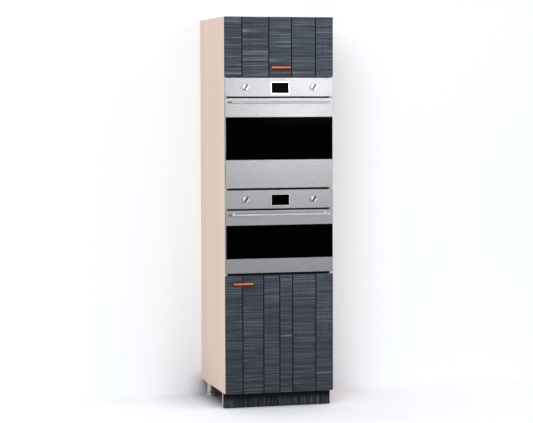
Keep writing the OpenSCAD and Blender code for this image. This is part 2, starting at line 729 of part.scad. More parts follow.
// Hinge arms: each is hooked into the frame and carries the door on a pin
arm_half = 5;
arm_reach = 26;
hook_h = 13;
module hinge_arms(o) color(steel) both_sides() {
    along_x(around(door_hinge_x, 4)) {
        translate([pin_y, pin_z(o)]) circle(arm_half);
        translate([pin_y, pin_z(o) - arm_half]) square([body_y + arm_reach - pin_y, 2 * arm_half]);
        translate([body_y + seat, pin_z(o) - arm_half]) square([8, hook_h]);
    }
    rod_x(around(door_hinge_x, 10), pin_y, pin_z(o), door_pin_r);
}

wire_r = 3;
rack_y = [body_y + 20, body_y + cavity_d - 40];
tray_rim = 14;
tray_depth = 28;
tray_wall = 1.5;
rack_x = cavity_w / 2 - 1.5 - wire_r;
rack_lift = sqrt(pow(bead_r + wire_r, 2) - pow(cavity_w / 2 + 1 - rack_x, 2)) + run;
module wire_rack(o, level) color(chrome) translate([0, 0, bead_z(o, level) + rack_lift]) {
    both_sides() rod_y(rack_x, rack_y, 0, wire_r);
    for (ry = rack_y) rod_x([-rack_x, rack_x], ry, 0, wire_r);
    for (sx = [-rack_x, rack_x], ry = rack_y) translate([sx, ry, 0]) sphere(r = wire_r);
    for (i = [-10 : 10]) rod_y(i * rack_x / 11.25, rack_y, 0, 1.8);
}

module tray(o, level) color(enamel) translate([0, 0, bead_z(o, level) + bead_r - 0.6]) {
    rim_x = cavity_w / 2 - 2;
    wall_x = rim_x - tray_rim;
    wall_y = rack_y + [10, -10];
    difference() {
        union() {
            box([-rim_x, rim_x], rack_y, [0, tray_wall]);
            box([-wall_x, wall_x], wall_y, [-tray_depth, tray_wall / 2]);
        }
        box([-wall_x + tray_wall, wall_x - tray_wall], wall_y + [tray_wall, -tray_wall],
            [-tray_depth + tray_wall, tray_wall + eps]);
    }
}

module wire_racks() {
    wire_rack(UPPER, 1);
    wire_rack(LOWER, 1);
}
module baking_tray() tray(UPPER, 3);

// Cover over the upper oven's fan: a shallow dish with rings of slots
module upper_fan_cover() color(enamel) {
    r = 95;
    depth = 14;
    slot = [34, r - 13];
    translate([0, body_y + cavity_d - skin - depth, cavity_z(UPPER) + cavity_h(UPPER) / 2])
        rotate([-90, 0, 0]) difference() {
            cylinder(r = r, h = depth);
            translate([0, 0, 1.5]) cylinder(r = r - 1.5, h = depth);
            for (a = [0 : 15 : 345]) rotate(a) translate([slot[0], -3.5, -eps])
                cube([slot[1] - slot[0], 7, 4]);
            for (a = [0 : 45 : 315]) rotate(a) translate([18, 0, -eps]) cylinder(r = 4, h = 4);
        }
}

// ---------- controls ----------

rim = 5;
module control_panel(o) color(steel) difference() {
    z = [control_z(o), front_top(o)];
    y = -oven_proud;
    union() {
        difference() {
            box([-front_w / 2, front_w / 2], [y, 0], z);
            box([-front_w / 2 + sheet, front_w / 2 - sheet], [y + sheet, -sheet], z + [sheet, -sheet]);
            box([-front_w / 2 + 22, front_w / 2 - 22], [-sheet - eps, eps], z + [12, -12]);
        }
        for (s = [-1, 1]) rod_y(s * knob_x, [y + eps / 2, y + 10], control_mid(o), spindle_r + 5);
        along_y([y - 0.8, y + 3]) display_outline(o, rim, 4);
    }
    along_y([y - 2, y + 4]) display_outline(o, seat, 2);
    for (s = [-1, 1]) rod_y(s * knob_x, [y - eps, y + 11], control_mid(o), spindle_r + run);
}
module display_outline(o, grow, r) {
    z = control_mid(o) - display_drop;
    round_rect(around(display_x, display_w / 2 + grow), around(z, display_h / 2 + grow), r);
}
module display(o) color("black") {
    along_y([-oven_proud - 0.6, -oven_proud + 3.4]) display_outline(o, 0, 2);
    z = control_mid(o) - display_drop;
    box(around(display_x, display_w / 2 + 8), [-oven_proud + 3.4, -oven_proud + 14],
        around(z, display_h / 2 + 5));
}

// A knob with a flared skirt and a raised grip across its face
module knob(o, side) color(chrome)
    translate([side * knob_x, -oven_proud - 0.5, control_mid(o)]) rotate([90, 0, 0]) {
        rotate_extrude() polygon([[0, 0], [knob_r + 1, 0], [knob_r + 1, 1.5], [knob_r, 3],
                                  [knob_r - 1, knob_h - 10], [knob_r - 2.5, knob_h - 8.5],
                                  [0, knob_h - 8.5]]);
        rotate(-knob_turn) intersection() {
            cylinder(r = knob_r - 1.5, h = knob_h);
            difference() {
                translate([-4.5, -knob_r, 0]) cube([9, 2 * knob_r, knob_h]);
                translate([-1, 0, knob_h - 1.5]) cube([2, knob_r, 3]);
            }
        }
        translate([0, 0, -16]) cylinder(r = spindle_r, h = 17);
    }

// ---------- oven doors ----------

pane_inset = 62;
pane_x = inner_w / 2 - pane_inset;
open_x = pane_x + 11;

module door_panel(o) color(steel) difference() {
    z = [door_z(o), door_top(o)];
    y = -oven_proud;
    wz = [window_z(o), window_z(o) + window_h(o)];
    half = front_w / 2 - 1;
    union() {
        difference() {
            box([-half, half], [y, skin_back_y], z);
            box([-half + door_sheet, half - door_sheet], [y + door_sheet, skin_back_y - door_sheet],
                z + [door_sheet, -door_sheet]);
            box([-inner_w / 2 + 30, inner_w / 2 - 30], [y + 2 * door_sheet, skin_back_y + eps],
                [pin_z(o) + 40, z[1] - 40]);
        }
        box([-half + seat, half - seat], [y + seat, y + glass_t + door_sheet], wz + [-8, 8]);
        both_sides() box(around(door_hinge_x, 15), [y + seat, skin_back_y], [z[0], pin_z(o) + 16]);
    }
    box([-half + window_margin, half - window_margin], [y - eps, y + glass_t], wz);
    along_y([y, skin_back_y + eps]) round_rect([-open_x, open_x], wz + [14, -14], 8);
    both_sides() {
        box(around(door_hinge_x, 5), [pin_y - arm_half - 0.5, skin_back_y + eps],
            [z[0] - eps, pin_z(o) + arm_half + 0.5]);
        rod_x(around(door_hinge_x, 10.5), pin_y, pin_z(o), door_pin_r + run);
    }
}

module door_glass(o) color("black") {
    wz = [window_z(o), window_z(o) + window_h(o)];
    along_y([-oven_proud, -oven_proud + glass_t])
        round_rect(around(0, front_w / 2 - 1 - window_margin - seat), wz + [seat, -seat], 1);
    along_y([inner_back_y - glass_t, inner_back_y])
        round_rect([-pane_x, pane_x], inner_window(o) + [-10 + seat, 10 - seat], 4);
}
function inner_window(o) = [cavity_z(o) + 20, min(cavity_z(o) + cavity_h(o) - 20, door_top(o) - 40)];

// A folded pan, open to the front, with a thick ring that holds the inner pane
module door_inner(o) color(enamel) difference() {
    z = [pin_z(o) + 7, door_top(o) - 5];
    x = inner_w / 2;
    box([-x, x], [skin_back_y, inner_back_y], z);
    difference() {
        box([-x + door_sheet, x - door_sheet], [skin_back_y - eps, inner_back_y - door_sheet],
            z + [door_sheet, -door_sheet]);
        along_y([skin_back_y - 2 * eps, inner_back_y])
            round_rect([-pane_x - 5, pane_x + 5], inner_window(o) + [-15, 15], 8);
    }
    along_y([skin_back_y - 3 * eps, inner_back_y + eps])
        round_rect([-pane_x + 10, pane_x - 10], inner_window(o), 6);
    along_y([inner_back_y - glass_t, inner_back_y + eps])
        round_rect([-pane_x - seat, pane_x + seat], inner_window(o) + [-10, 10], 4);
}

module bar_handle(o) color(steel) {
    z = door_top(o) - bar_drop;
    y = -oven_proud - bar_reach + bar_r;
    rod_x(around(0, bar_l / 2), y, z, bar_r);
    both_sides() {
        rod_y(bar_l / 2 - 17, [y, -oven_proud], z, bar_r - 0.5);
        rod_y(bar_l / 2 - 17, [-oven_proud - 3, -oven_proud], z, bar_r + 3);
    }
}

// ---------- named nodes ----------

module upper_casing() casing(UPPER);
module upper_insulation() insulation(UPPER);
module upper_cavity() cavity(UPPER);
module upper_frame() frame(UPPER);
module upper_control_panel() control_panel(UPPER);
module upper_display() display(UPPER);
module upper_knob_left() knob(UPPER, -1);
module upper_knob_right() knob(UPPER, 1);
module upper_door_panel() door_panel(UPPER);
module upper_door_glass() door_glass(UPPER);
module upper_door_inner() door_inner(UPPER);
module upper_bar_handle() bar_handle(UPPER);
module upper_hinge_arms() hinge_arms(UPPER);
module lower_casing() casing(LOWER);
module lower_insulation() insulation(LOWER);
module lower_cavity() cavity(LOWER);
module lower_frame() frame(LOWER);
module lower_control_panel() control_panel(LOWER);
module lower_display() display(LOWER);
module lower_knob_left() knob(LOWER, -1);
module lower_knob_right() knob(LOWER, 1);
module lower_door_panel() door_panel(LOWER);
module lower_door_glass() door_glass(LOWER);
module lower_door_inner() door_inner(LOWER);
module lower_bar_handle() bar_handle(LOWER);
module lower_hinge_arms() hinge_arms(LOWER);

in_unit() side_panel_left();
in_unit() side_panel_right();
in_unit() top_panel();
in_unit() bottom_panel();
in_unit() locker_shelf();
in_unit() middle_oven_shelf();
in_unit() lower_oven_shelf();
in_unit() cupboard_shelf();
in_unit() shelf_pins();
in_unit() back_panels();
in_unit() back_rails();
in_unit() cam_fasteners();
in_unit() wall_brackets();
in_unit() plinth_board();
in_unit() plinth_clips();
in_unit() leg_columns();
in_unit() foot_front_left();
in_unit() foot_front_right();
in_unit() foot_back_left();
in_unit() foot_back_right();
in_unit() carcass_hinge_arms();
in_unit() stay_brackets();
in_unit() stay_tubes();
in_unit() stay_rods();
in_unit() flap_panel();
in_unit() flap_pull();
in_unit() flap_fittings();
in_unit() base_door_panel();
in_unit() base_door_pull();
in_unit() base_door_cups();
in_unit() oven_seals();
in_unit() upper_casing();
in_unit() upper_insulation();
in_unit() upper_cavity();
in_unit() upper_frame();
in_unit() upper_control_panel();
in_unit() upper_display();
in_unit() upper_knob_left();
in_unit() upper_knob_right();
in_unit() upper_fan_cover();
in_unit() upper_door_panel();
in_unit() upper_door_glass();
in_unit() upper_door_inner();
in_unit() upper_bar_handle();
in_unit() upper_hinge_arms();
in_unit() lower_casing();
in_unit() lower_insulation();
in_unit() lower_cavity();
in_unit() lower_frame();
in_unit() lower_control_panel();
in_unit() lower_display();
in_unit() lower_knob_left();
in_unit() lower_knob_right();
in_unit() wire_racks();
in_unit() baking_tray();
in_unit() lower_door_panel();
in_unit() lower_door_glass();
in_unit() lower_door_inner();
in_unit() lower_bar_handle();
in_unit() lower_hinge_arms();
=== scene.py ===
"""Looks of a tall housing for two built-in ovens: finishes, small hardware, floor, wall and camera.

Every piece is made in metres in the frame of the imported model, whose bodies carry the pieces when they move.
"""

import json
import math

import bmesh
import bpy
from bpy.props import FloatProperty, FloatVectorProperty, IntProperty, PointerProperty
from mathutils import Matrix, Vector

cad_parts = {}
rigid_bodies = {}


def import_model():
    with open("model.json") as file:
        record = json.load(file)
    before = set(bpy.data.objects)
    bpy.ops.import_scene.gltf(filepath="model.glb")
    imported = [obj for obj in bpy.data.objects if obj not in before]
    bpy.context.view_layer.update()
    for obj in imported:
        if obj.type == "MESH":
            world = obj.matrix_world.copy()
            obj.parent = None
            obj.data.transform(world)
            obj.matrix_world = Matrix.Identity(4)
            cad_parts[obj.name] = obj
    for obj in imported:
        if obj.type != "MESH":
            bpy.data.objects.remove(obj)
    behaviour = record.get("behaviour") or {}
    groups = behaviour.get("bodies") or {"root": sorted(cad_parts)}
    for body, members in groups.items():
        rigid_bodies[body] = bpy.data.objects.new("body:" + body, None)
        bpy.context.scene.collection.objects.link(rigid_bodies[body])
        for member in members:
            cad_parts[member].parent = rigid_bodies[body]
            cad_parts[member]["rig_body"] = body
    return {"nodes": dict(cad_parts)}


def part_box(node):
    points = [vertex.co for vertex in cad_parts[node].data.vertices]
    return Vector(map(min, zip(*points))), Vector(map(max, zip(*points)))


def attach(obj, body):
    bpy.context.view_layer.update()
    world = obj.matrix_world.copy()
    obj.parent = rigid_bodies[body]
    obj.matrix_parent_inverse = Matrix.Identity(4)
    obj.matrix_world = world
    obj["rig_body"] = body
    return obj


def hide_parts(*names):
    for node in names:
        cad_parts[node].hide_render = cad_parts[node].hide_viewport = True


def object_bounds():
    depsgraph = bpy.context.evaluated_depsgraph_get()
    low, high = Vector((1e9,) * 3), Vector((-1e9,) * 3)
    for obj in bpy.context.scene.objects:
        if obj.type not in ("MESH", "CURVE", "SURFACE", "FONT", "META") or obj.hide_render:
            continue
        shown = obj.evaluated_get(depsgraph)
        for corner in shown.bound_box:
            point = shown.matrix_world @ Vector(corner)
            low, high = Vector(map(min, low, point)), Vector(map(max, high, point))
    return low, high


bl_info = {
    "name": "Tall Oven Housing",
    "version": (1, 0, 0),
    "blender": (4, 5, 0),
    "location": "View3D > Sidebar > Oven Housing",
    "description": "Finishes and small hardware for a tall housing with two built-in ovens",
    "category": "Object",
}

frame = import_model()
NODES = frame["nodes"]
CAD_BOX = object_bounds()
MM = 0.001
OVENS = ("upper", "lower")

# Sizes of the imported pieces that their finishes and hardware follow
EDGE_BAND = 1 * MM  # band on a board's front edge
GLUE_LINE = 0.3 * MM  # dark line behind the band
PLINTH_FACING = 18 * MM  # dark board before the plinth's backing
DISPLAY_RIM = 0.8 * MM  # height of the rim round a display
DISPLAY_HIDDEN = Vector((16, 0, 10)) * MM  # width and height that a display hides behind its panel
DOOR_SHEET = 1.6 * MM  # steel face of an oven door, with the start of its folds
CAVITY_WALL = 1.2 * MM  # sheet of an oven's cavity
FRAME_SEAT = 4 * MM  # depth of an oven frame's screws before its rear edge
PLATE = 2 * MM  # thickness of the hinge plates
BRACKET = 3 * MM  # thickness of the stay brackets
CUP_RIM = 1.2 * MM  # thickness of the hinge cups' rims
EAR_FOOT = 2 * MM  # thickness of the stay ears' feet
KNOB_FACE = 8 * MM  # depth of the grip across a knob's face
JOINT_DEPTHS = (2.5 * MM, 4.5 * MM)  # range that holds the depth of the V joints
JOINT_WIDTH = 6 * MM  # no V joint is as wide as this at its bottom
ELEMENT_ROWS = (-0.19, -0.12, -0.05, 0.05, 0.12, 0.19)  # runs of a grill element across the oven
DIAL_SPANS = {"left": 315, "right": 270}  # degrees that the marks round a knob span

# The studio, in metres
WALL_GAP = 0.002  # between the unit and the wall
STAGE_REACH = 14
LAMPS = (  # name, setting for the power, place, target, width, height, tint
    ("Front", "left_power", (-2.0, -4.6, 3.8), (0, -0.2, 1.1), 2.6, 2.6, (0.98, 0.97, 1.0)),
    ("Right", "key_power", (3.6, -3.4, 3.2), (0, -0.2, 1.4), 1.6, 2.4, (1.0, 0.96, 0.96)),
    ("Sheen", "sheen_power", (2.4, -8.3, 1.85), (0, -0.27, 1.7), 0.8, 0.8, (1, 1, 1)),
)


def linear(red, green, blue):
    """A colour given in the 0 to 255 steps of a screen, as linear light."""
    steps = (red / 255, green / 255, blue / 255)
    return tuple(s / 12.92 if s <= 0.04045 else ((s + 0.055) / 1.055) ** 2.4 for s in steps)


def low(node):
    """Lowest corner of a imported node's box."""
    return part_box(node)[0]


def high(node):
    """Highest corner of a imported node's box."""
    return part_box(node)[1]


def colour(name, description, screen):
    """A colour setting, given in the steps of a screen."""
    return FloatVectorProperty(
        name=name, description=description, subtype="COLOR", size=3, min=0, max=1, default=linear(*screen)
    )


def length(name, description, millimetres):
    """A length setting, given in millimetres."""
    return FloatProperty(
        name=name, description=description, subtype="DISTANCE", unit="LENGTH", default=millimetres * MM
    )


def angle(name, description, degrees):
    """An angle setting, given in degrees."""
    return FloatProperty(name=name, description=description, subtype="ANGLE", default=math.radians(degrees))


def power(name, description, watts):
    """The power setting of a lamp."""
    return FloatProperty(name=name, description=description, subtype="POWER", default=watts)


def amount(name, description, plain):
    """A setting without a unit, never below zero."""
    return FloatProperty(name=name, description=description, default=plain, min=0)


# -------- settings


class WoodLooks(bpy.types.PropertyGroup):
    """Colours of the boards and the wooden fronts"""

    oak_light: colour("Oak, light", "Pale tone of the carcass boards", (229, 206, 189))
    oak_dark: colour("Oak, dark", "Deeper tone of the carcass boards' grain", (211, 184, 167))
    oak_pore: colour("Oak pores", "Fine pores of the carcass boards", (184, 158, 143))
    oak_band: colour("Edge band", "Band on the boards' front edges", (240, 226, 214))
    # painted shade: this dark band on the shelves' front edges stands in for the shade deep in the gaps of the
    # front
    painted_shade_band: colour("Dark edge band", "Band on the shelves behind the gaps of the front", (44, 38, 36))
    stain: colour("Stain", "Blue-grey stain of the fronts", (54, 60, 70))
    stain_deep: colour("Stain, deep", "Dark streaks of the fronts", (24, 28, 35))
    stain_worn: colour("Stain, worn", "Saw marks that show through the stain", (125, 136, 147))
    joint: colour("Board joint", "Inside of the joints between the fronts' boards", (10, 12, 17))
    plinth: colour("Plinth", "Near-black tone of the plinth", (6, 8, 14))
    plinth_streak: colour("Plinth streaks", "Pale streaks of the plinth", (92, 104, 117))
    # partly painted light: these tones set the stain's brightness and also paint the flap lighter than the base
    # door, as if lit more from above
    flap_stain_and_light: amount("Flap tone", "Brightness of the flap's stain", 0.82)
    base_stain_and_light: amount("Base door tone", "Brightness of the base door's stain", 0.72)
    edge_round: length("Edge rounding", "Rounding of the boards' edges", 0.8)


class MetalLooks(bpy.types.PropertyGroup):
    """Colours of the metal, enamel, glass and plastic pieces"""

    steel: colour("Oven steel", "Brushed steel of the oven fronts", (165, 164, 167))
    bright: colour("Bright steel", "Bar handles and the rims of the displays", (214, 214, 218))
    chrome: colour("Chrome", "Knobs, racks and stay rods", (228, 228, 231))
    # painted reflection: the dark room that the chrome of each knob's grip mirrors
    grip: colour("Knob grip", "Darkened grip of a knob", (58, 58, 62))
    leg: colour("Leg", "Satin metal of the legs and feet", (206, 194, 184))
    zinc: colour("Zinc", "Hinges, brackets and screws", (176, 178, 182))
    copper: colour("Copper", "Pull handles", (204, 128, 103))
    # painted shade: the copper inside the pulls, behind the hood
    copper_painted_shade: colour("Copper, inner", "Darkened copper inside the pulls", (96, 30, 10))
    black: colour("Black", "Oven frames and stay tubes", (9, 9, 10))
    glass: colour("Black glass", "Door and display glass", (1, 1, 1))
    enamel: colour("Enamel", "Oven cavities and inner door frames", (38, 40, 46))
    speckle: colour("Enamel speckle", "Specks in the enamel", (92, 96, 104))
    casing: colour("Casing", "Galvanised oven casings", (168, 172, 176))
    wool: colour("Mineral wool", "Insulation", (196, 186, 142))
    rubber: colour("Rubber", "Seals and bumpers", (24, 24, 25))
    mark: colour("Dial marks", "Marks round the knobs", (96, 97, 101))
    sheet_round: length("Sheet rounding", "Rounding of the oven fronts' edges", 1.2)


class HardwareSizes(bpy.types.PropertyGroup):
    """Sizes of the small hardware"""

    screw_radius: length("Screw head", "Radius of a screw's head", 3.2)
    screw_height: length("Screw head height", "Height of a screw's head", 1.6)
    flap_hinge: length("Flap hinges", "Distance of the flap's hinges from the middle", 140)
    base_hinge: length("Base hinges", "Distance of the base door's hinges from its ends", 90)
    plate_depth: length("Plate screws, depth", "Distance of the hinge plates' screws behind the fronts", 35.25)
    plate_screw: length("Plate screws", "Half the distance between a hinge plate's screws", 16)
    bracket_screw: length("Bracket screws", "Half the distance between a stay bracket's screws", 18)
    cup_inset: length("Cup screws, inset", "Distance of the hinge cups from the front's edge", 20.5)
    cup_screw: length("Cup screws", "Half the distance between a hinge cup's screws", 24)
    dial_marks: IntProperty(name="Dial marks", description="Marks round each knob", default=11, min=3, max=24)
    dial_radius: length("Dial radius", "Radius of the ring of marks", 23)
    mark_length: length("Mark length", "Length of a dial mark", 4)
    mark_width: length("Mark width", "Width of a dial mark", 1.1)
    element_radius: length("Element radius", "Radius of the grill element's tube", 3.2)
    gasket: length("Display gasket", "Width of the seal round a display", 2.6)
    lamp_radius: length("Oven lamp", "Radius of an oven lamp's glass", 24)
    bumper_radius: length("Bumper", "Radius of the soft bumpers behind the fronts", 4.5)


class StageSettings(bpy.types.PropertyGroup):
    """Camera, lamps and surroundings"""

    camera_x: length("Camera X", "Camera's place across the front", -2552.81)
    camera_y: length("Camera Y", "Camera's place before the front", -9697.85)
    camera_z: length("Camera Z", "Camera's height", 1659.07)
    camera_turn: angle("Turn", "Turn of the view to the right", 14.7315)
    camera_dip: angle("Dip", "Dip of the view below level", 3.5005)
    camera_roll: angle("Roll", "Roll of the view", -0.154339)
    lens: amount("Lens", "Focal length in millimetres on a 36 mm sensor", 123.452)
    wall: colour("Wall", "Wall of the studio", (239, 243, 245))
    floor: colour("Floor", "Floor of the studio", (244, 245, 249))
    # painted shade on the wall and floor close beside the unit
    painted_shade: colour("Shade", "Wall and floor close beside the unit", (206, 202, 210))
    # painted shadow of the unit on the floor under it
    under: colour("Under the unit", "Floor in the unit's shadow", (92, 90, 98))
    far_floor: colour("Far floor", "Floor well before the unit", (104, 103, 108))
    key_power: power("Key lamp", "Power of the lamp on the upper right", 36)
    left_power: power("Left lamp", "Power of the lamp on the left", 142)
    sheen_power: power("Sheen panel", "Power of the panel that the steel mirrors", 25)
    room_light: amount("Room light", "Strength of the even light", 0.78)


# -------- shader maths


class Value:
    """An output socket that takes part in Python arithmetic; each operation adds one Math node."""

    def __init__(self, finish, socket):
        self.finish = finish
        self.socket = socket

    def _math(self, operation, *operands):
        return self.finish.value("ShaderNodeMath", {"operation": operation}, dict(enumerate(operands)))

    def __add__(self, other):
        return self._math("ADD", self, other)

    def __sub__(self, other):
        return self._math("SUBTRACT", self, other)

    def __rsub__(self, other):
        return self._math("SUBTRACT", other, self)

    def __mul__(self, other):
        return self._math("MULTIPLY", self, other)

    def __gt__(self, other):
        return self._math("GREATER_THAN", self, other)

    def __lt__(self, other):
        return self._math("LESS_THAN", self, other)

    def limited(self):
        return self.finish.value("ShaderNodeClamp", {}, {"Value": self})

    def between(self, start, end):
        """0 below start, 1 above end, smooth in between."""
        ends = {"Value": self, "From Min": start, "From Max": end}
        return self.finish.value("ShaderNodeMapRange", {"interpolation_type": "SMOOTHSTEP"}, ends)

    __radd__ = __add__
    __rmul__ = __mul__


class Finish:
    """A node material under construction."""

    def __init__(self, name, sheen=0.5):
        self.material = bpy.data.materials.new(name)
        self.material.use_nodes = True
        self.tree = self.material.node_tree
        self.shader = self.tree.nodes["Principled BSDF"]
        self.set(Specular_IOR_Level=sheen)
        self.place = self.value("ShaderNodeTexCoord", {}, {}, "Object")

    def feed(self, socket, content):
        """Links a value to a socket, or sets the socket's own number, vector or colour."""
        if isinstance(content, Value):
            self.tree.links.new(content.socket, socket)
        elif hasattr(content, "__len__") and len(content) == 3 and socket.type == "RGBA":
            socket.default_value = (*content, 1)
        else:
            socket.default_value = content

    def value(self, kind, settings, contents, output=0):
        """Adds a node: its settings first, then the values or links of its sockets."""
        node = self.tree.nodes.new(kind)
        for name, setting in settings.items():
            setattr(node, name, setting)
        for name, content in contents.items():
            self.feed(node.inputs[name], content)
        return Value(self, node.outputs[output])

    def parts(self):
        """Object coordinates as three values."""
        return [self.value("ShaderNodeSeparateXYZ", {}, {"Vector": self.place}, axis) for axis in "XYZ"]

    def shifted(self, x, z):
        """Object coordinates moved along X and Z by two values."""
        step = self.value("ShaderNodeCombineXYZ", {}, {"X": x, "Z": z})
        return self.value("ShaderNodeVectorMath", {"operation": "ADD"}, {0: self.place, 1: step})

    def stretched(self, scale, place=None):
        """A place scaled along each axis."""
        return self.value("ShaderNodeMapping", {}, {"Vector": place or self.place, "Scale": scale})

    def noise(self, scale, detail=3.0, roughness=0.55, distortion=0.0, place=None):
        """Cloudy noise with its own scale along each axis."""
        contents = {"Vector": self.stretched(scale, place), "Scale": 1.0, "Detail": detail,
                    "Roughness": roughness, "Distortion": distortion}
        return self.value("ShaderNodeTexNoise", {}, contents)

    def mixed(self, first, second, share):
        """From the first colour to the second."""
        return self.value("ShaderNodeMix", {"data_type": "RGBA"}, {0: share, 6: first, 7: second}, 2)

    def bumped(self, height, distance, strength=1.0):
        return self.value("ShaderNodeBump", {}, {"Height": height, "Distance": distance, "Strength": strength})

    def set(self, **contents):
        """Feeds the shader: Base_Color=..., Roughness=..."""
        for name, content in contents.items():
            self.feed(self.shader.inputs[name.replace("_", " ")], content)
        return self.material


def memory(maker):
    """Makes each finish once and hands the same material out afterwards."""
    made = {}

    def remembered(*key):
        if key not in made:
            made[key] = maker(*key)
        return made[key]

    return remembered


def wood():
    return bpy.context.scene.wood_looks


def metal():
    return bpy.context.scene.metal_looks


def hardware():
    return bpy.context.scene.hardware_sizes


# -------- finishes


def oak_tone(f, along):
    """Colour of bleached oak with its grain along X or Z, and the grain's height."""
    looks = wood()

    def run(across, lengthways):
        return (lengthways, across, across) if along == "X" else (across, across, lengthways)

    bands = f.noise(run(16, 0.55), detail=3, distortion=0.6)
    streaks = f.noise(run(170, 3.2), detail=4, roughness=0.6)
    pores = f.noise(run(620, 16), detail=2).between(0.58, 0.74)
    tone = f.mixed(looks.oak_light, looks.oak_dark, (bands * 0.9 + streaks * 0.7 - 0.3).limited())
    tone = f.mixed(tone, looks.oak_pore, pores * 0.34)
    return tone, streaks - pores * 0.6


@memory
def oak(along, edge_y, band):
    """Board with a band of its own colour on the front edge at edge_y; on the shelves behind the front's gaps
    that band is painted shade.
    """
    f = Finish(f"Bleached oak {along} {round(edge_y * 1000)} {round(band[0], 2)}")
    tone, grain = oak_tone(f, along)
    depth = f.parts()[1] - edge_y
    tone = f.mixed(tone, wood().oak_pore, (depth < EDGE_BAND + GLUE_LINE) * (depth > EDGE_BAND) * 0.7)
    tone = f.mixed(tone, band, (depth < EDGE_BAND) * 0.75)
    return f.set(Base_Color=tone, Roughness=0.52 + grain * 0.12, Normal=f.bumped(grain, 0.00012))


@memory
def stained_boards(face_y, rear_y, joints, strength):
    """Rough-sawn boards with a blue-grey stain; the joints between them are near black; strength scales all
    colours, partly as painted light.
    """
    looks = wood()
    f = Finish(f"Stained boards {len(joints)}", sheen=0.15)
    x, y, z = f.parts()
    board = sum((x > joint) * (0.37 + 0.11 * order) for order, joint in enumerate(joints)) + 0.05
    tint = f.value("ShaderNodeTexWhiteNoise", {"noise_dimensions": "1D"}, {"W": board})
    own = f.shifted(x=tint * 3 + z * 1.3, z=tint * 7)
    upright = f.shifted(x=tint * 3, z=tint * 7)
    deep, stain, worn, joint = (tuple(c * strength for c in tone) for tone in (
        looks.stain_deep, looks.stain, looks.stain_worn, looks.joint))
    patches = f.noise((5, 6, 4), detail=2, place=own)
    ridges = f.noise((1.6, 8, 70), detail=2, place=own)
    saw = f.noise((2.6, 8, 240), detail=3, roughness=0.65, place=own)
    hair = f.noise((7, 8, 640), detail=2, roughness=0.6, place=own)
    streaks = f.noise((330, 30, 2.4), detail=3, roughness=0.65, place=upright)
    tone = f.mixed(deep, stain, saw.between(0.4, 0.5))
    tone = f.mixed(tone, worn, saw.between(0.52, 0.66) * (patches.between(0.3, 0.62) * 0.5 + 0.45))
    tone = f.mixed(tone, worn, hair.between(0.52, 0.72) * patches.between(0.3, 0.6) * 0.3)
    tone = f.mixed(tone, deep, ridges.between(0.5, 0.34) * 0.5)
    tone = f.mixed(tone, deep, streaks.between(0.48, 0.34) * 0.4)
    tone = f.mixed(tone, worn, streaks.between(0.54, 0.7) * 0.22)
    tone = f.mixed(tone, worn, tint * 0.1 + x.between(-0.3, 0.3) * 0.08)
    tone = f.mixed(tone, deep, z.between(0.8, 0.1) * 0.3)
    tone = f.mixed(tone, joint, y.between(face_y + 0.3 * MM, face_y + 1.2 * MM))
    tone = f.mixed(tone, stain, y > rear_y - 0.4 * MM)
    relief = saw * 0.6 + hair * 0.25 + ridges * 0.4
    return f.set(Base_Color=tone, Roughness=0.62 + streaks * 0.2, Normal=f.bumped(relief, 0.0005))


@memory
def plinth_wood():
    """Near-black facing with pale vertical streaks that fade into painted shade at its top, on a backing board
    of the carcass's oak.
    """
    looks = wood()
    f = Finish("Plinth board", sheen=0.1)
    _, y, z = f.parts()
    broad = f.noise((190, 8, 2), detail=2, roughness=0.6)
    fine = f.noise((330, 8, 3), detail=2, roughness=0.6)
    lift = f.noise((14, 8, 9), detail=2)
    # painted shade: the streaks fade out towards the top of the plinth, under the base door
    lit = z.between(0.064, 0.03) * 0.98 + 0.02
    streaks = broad.between(0.46, 0.62) * (lift.between(0.3, 0.6) * 0.6 + 0.4) * lit
    share = (streaks * 0.54 + fine.between(0.46, 0.64) * lit * 0.27).limited()
    dark = f.mixed(looks.plinth, looks.plinth_streak, share)
    pale = oak_tone(f, "X")[0]
    tone = f.mixed(dark, pale, y > low("plinth_board").y + PLINTH_FACING)
    return f.set(Base_Color=tone, Roughness=0.55 + streaks * 0.15, Normal=f.bumped(streaks, 0.0002))


@memory
def brushed_steel(name, grey, roughness, coated_y=None, rim_y=None):
    """Steel with fine brushing along X and faint cloudy wear; black behind coated_y, polished before rim_y."""
    f = Finish(name)
    y = f.parts()[1]
    brushing = f.noise((5, 1400, 1400), detail=4, roughness=0.75)
    clouds = f.noise((5, 5, 6), detail=2)
    tone = f.mixed(tuple(c * 0.88 for c in grey), grey, (brushing * 0.6 + clouds * 0.5 - 0.05).limited())
    rough = roughness - 0.05 + brushing * 0.08 + clouds * 0.05
    shine = 1.0
    if rim_y is not None:
        rim = y < rim_y
        tone = f.mixed(tone, metal().bright, rim)
        rough = rough - rim * 0.1
    if coated_y is not None:
        coated = y.between(coated_y, coated_y + 0.3 * MM)
        tone = f.mixed(tone, metal().black, coated)
        shine = 1 - coated
    return f.set(Base_Color=tone, Metallic=shine, Roughness=rough, Normal=f.bumped(brushing, 0.00001, 0.5))


@memory
def plated(name, grey, roughness):
    """Plated metal with faint handling marks."""
    f = Finish(name)
    smudge = f.noise((60, 60, 60), detail=3)
    fine = f.noise((900, 900, 900), detail=2)
    tone = f.mixed(tuple(c * 0.9 for c in grey), grey, smudge.between(0.3, 0.7))
    rough = roughness + smudge * 0.1
    return f.set(Base_Color=tone, Metallic=1.0, Roughness=rough, Normal=f.bumped(fine, 0.00002))


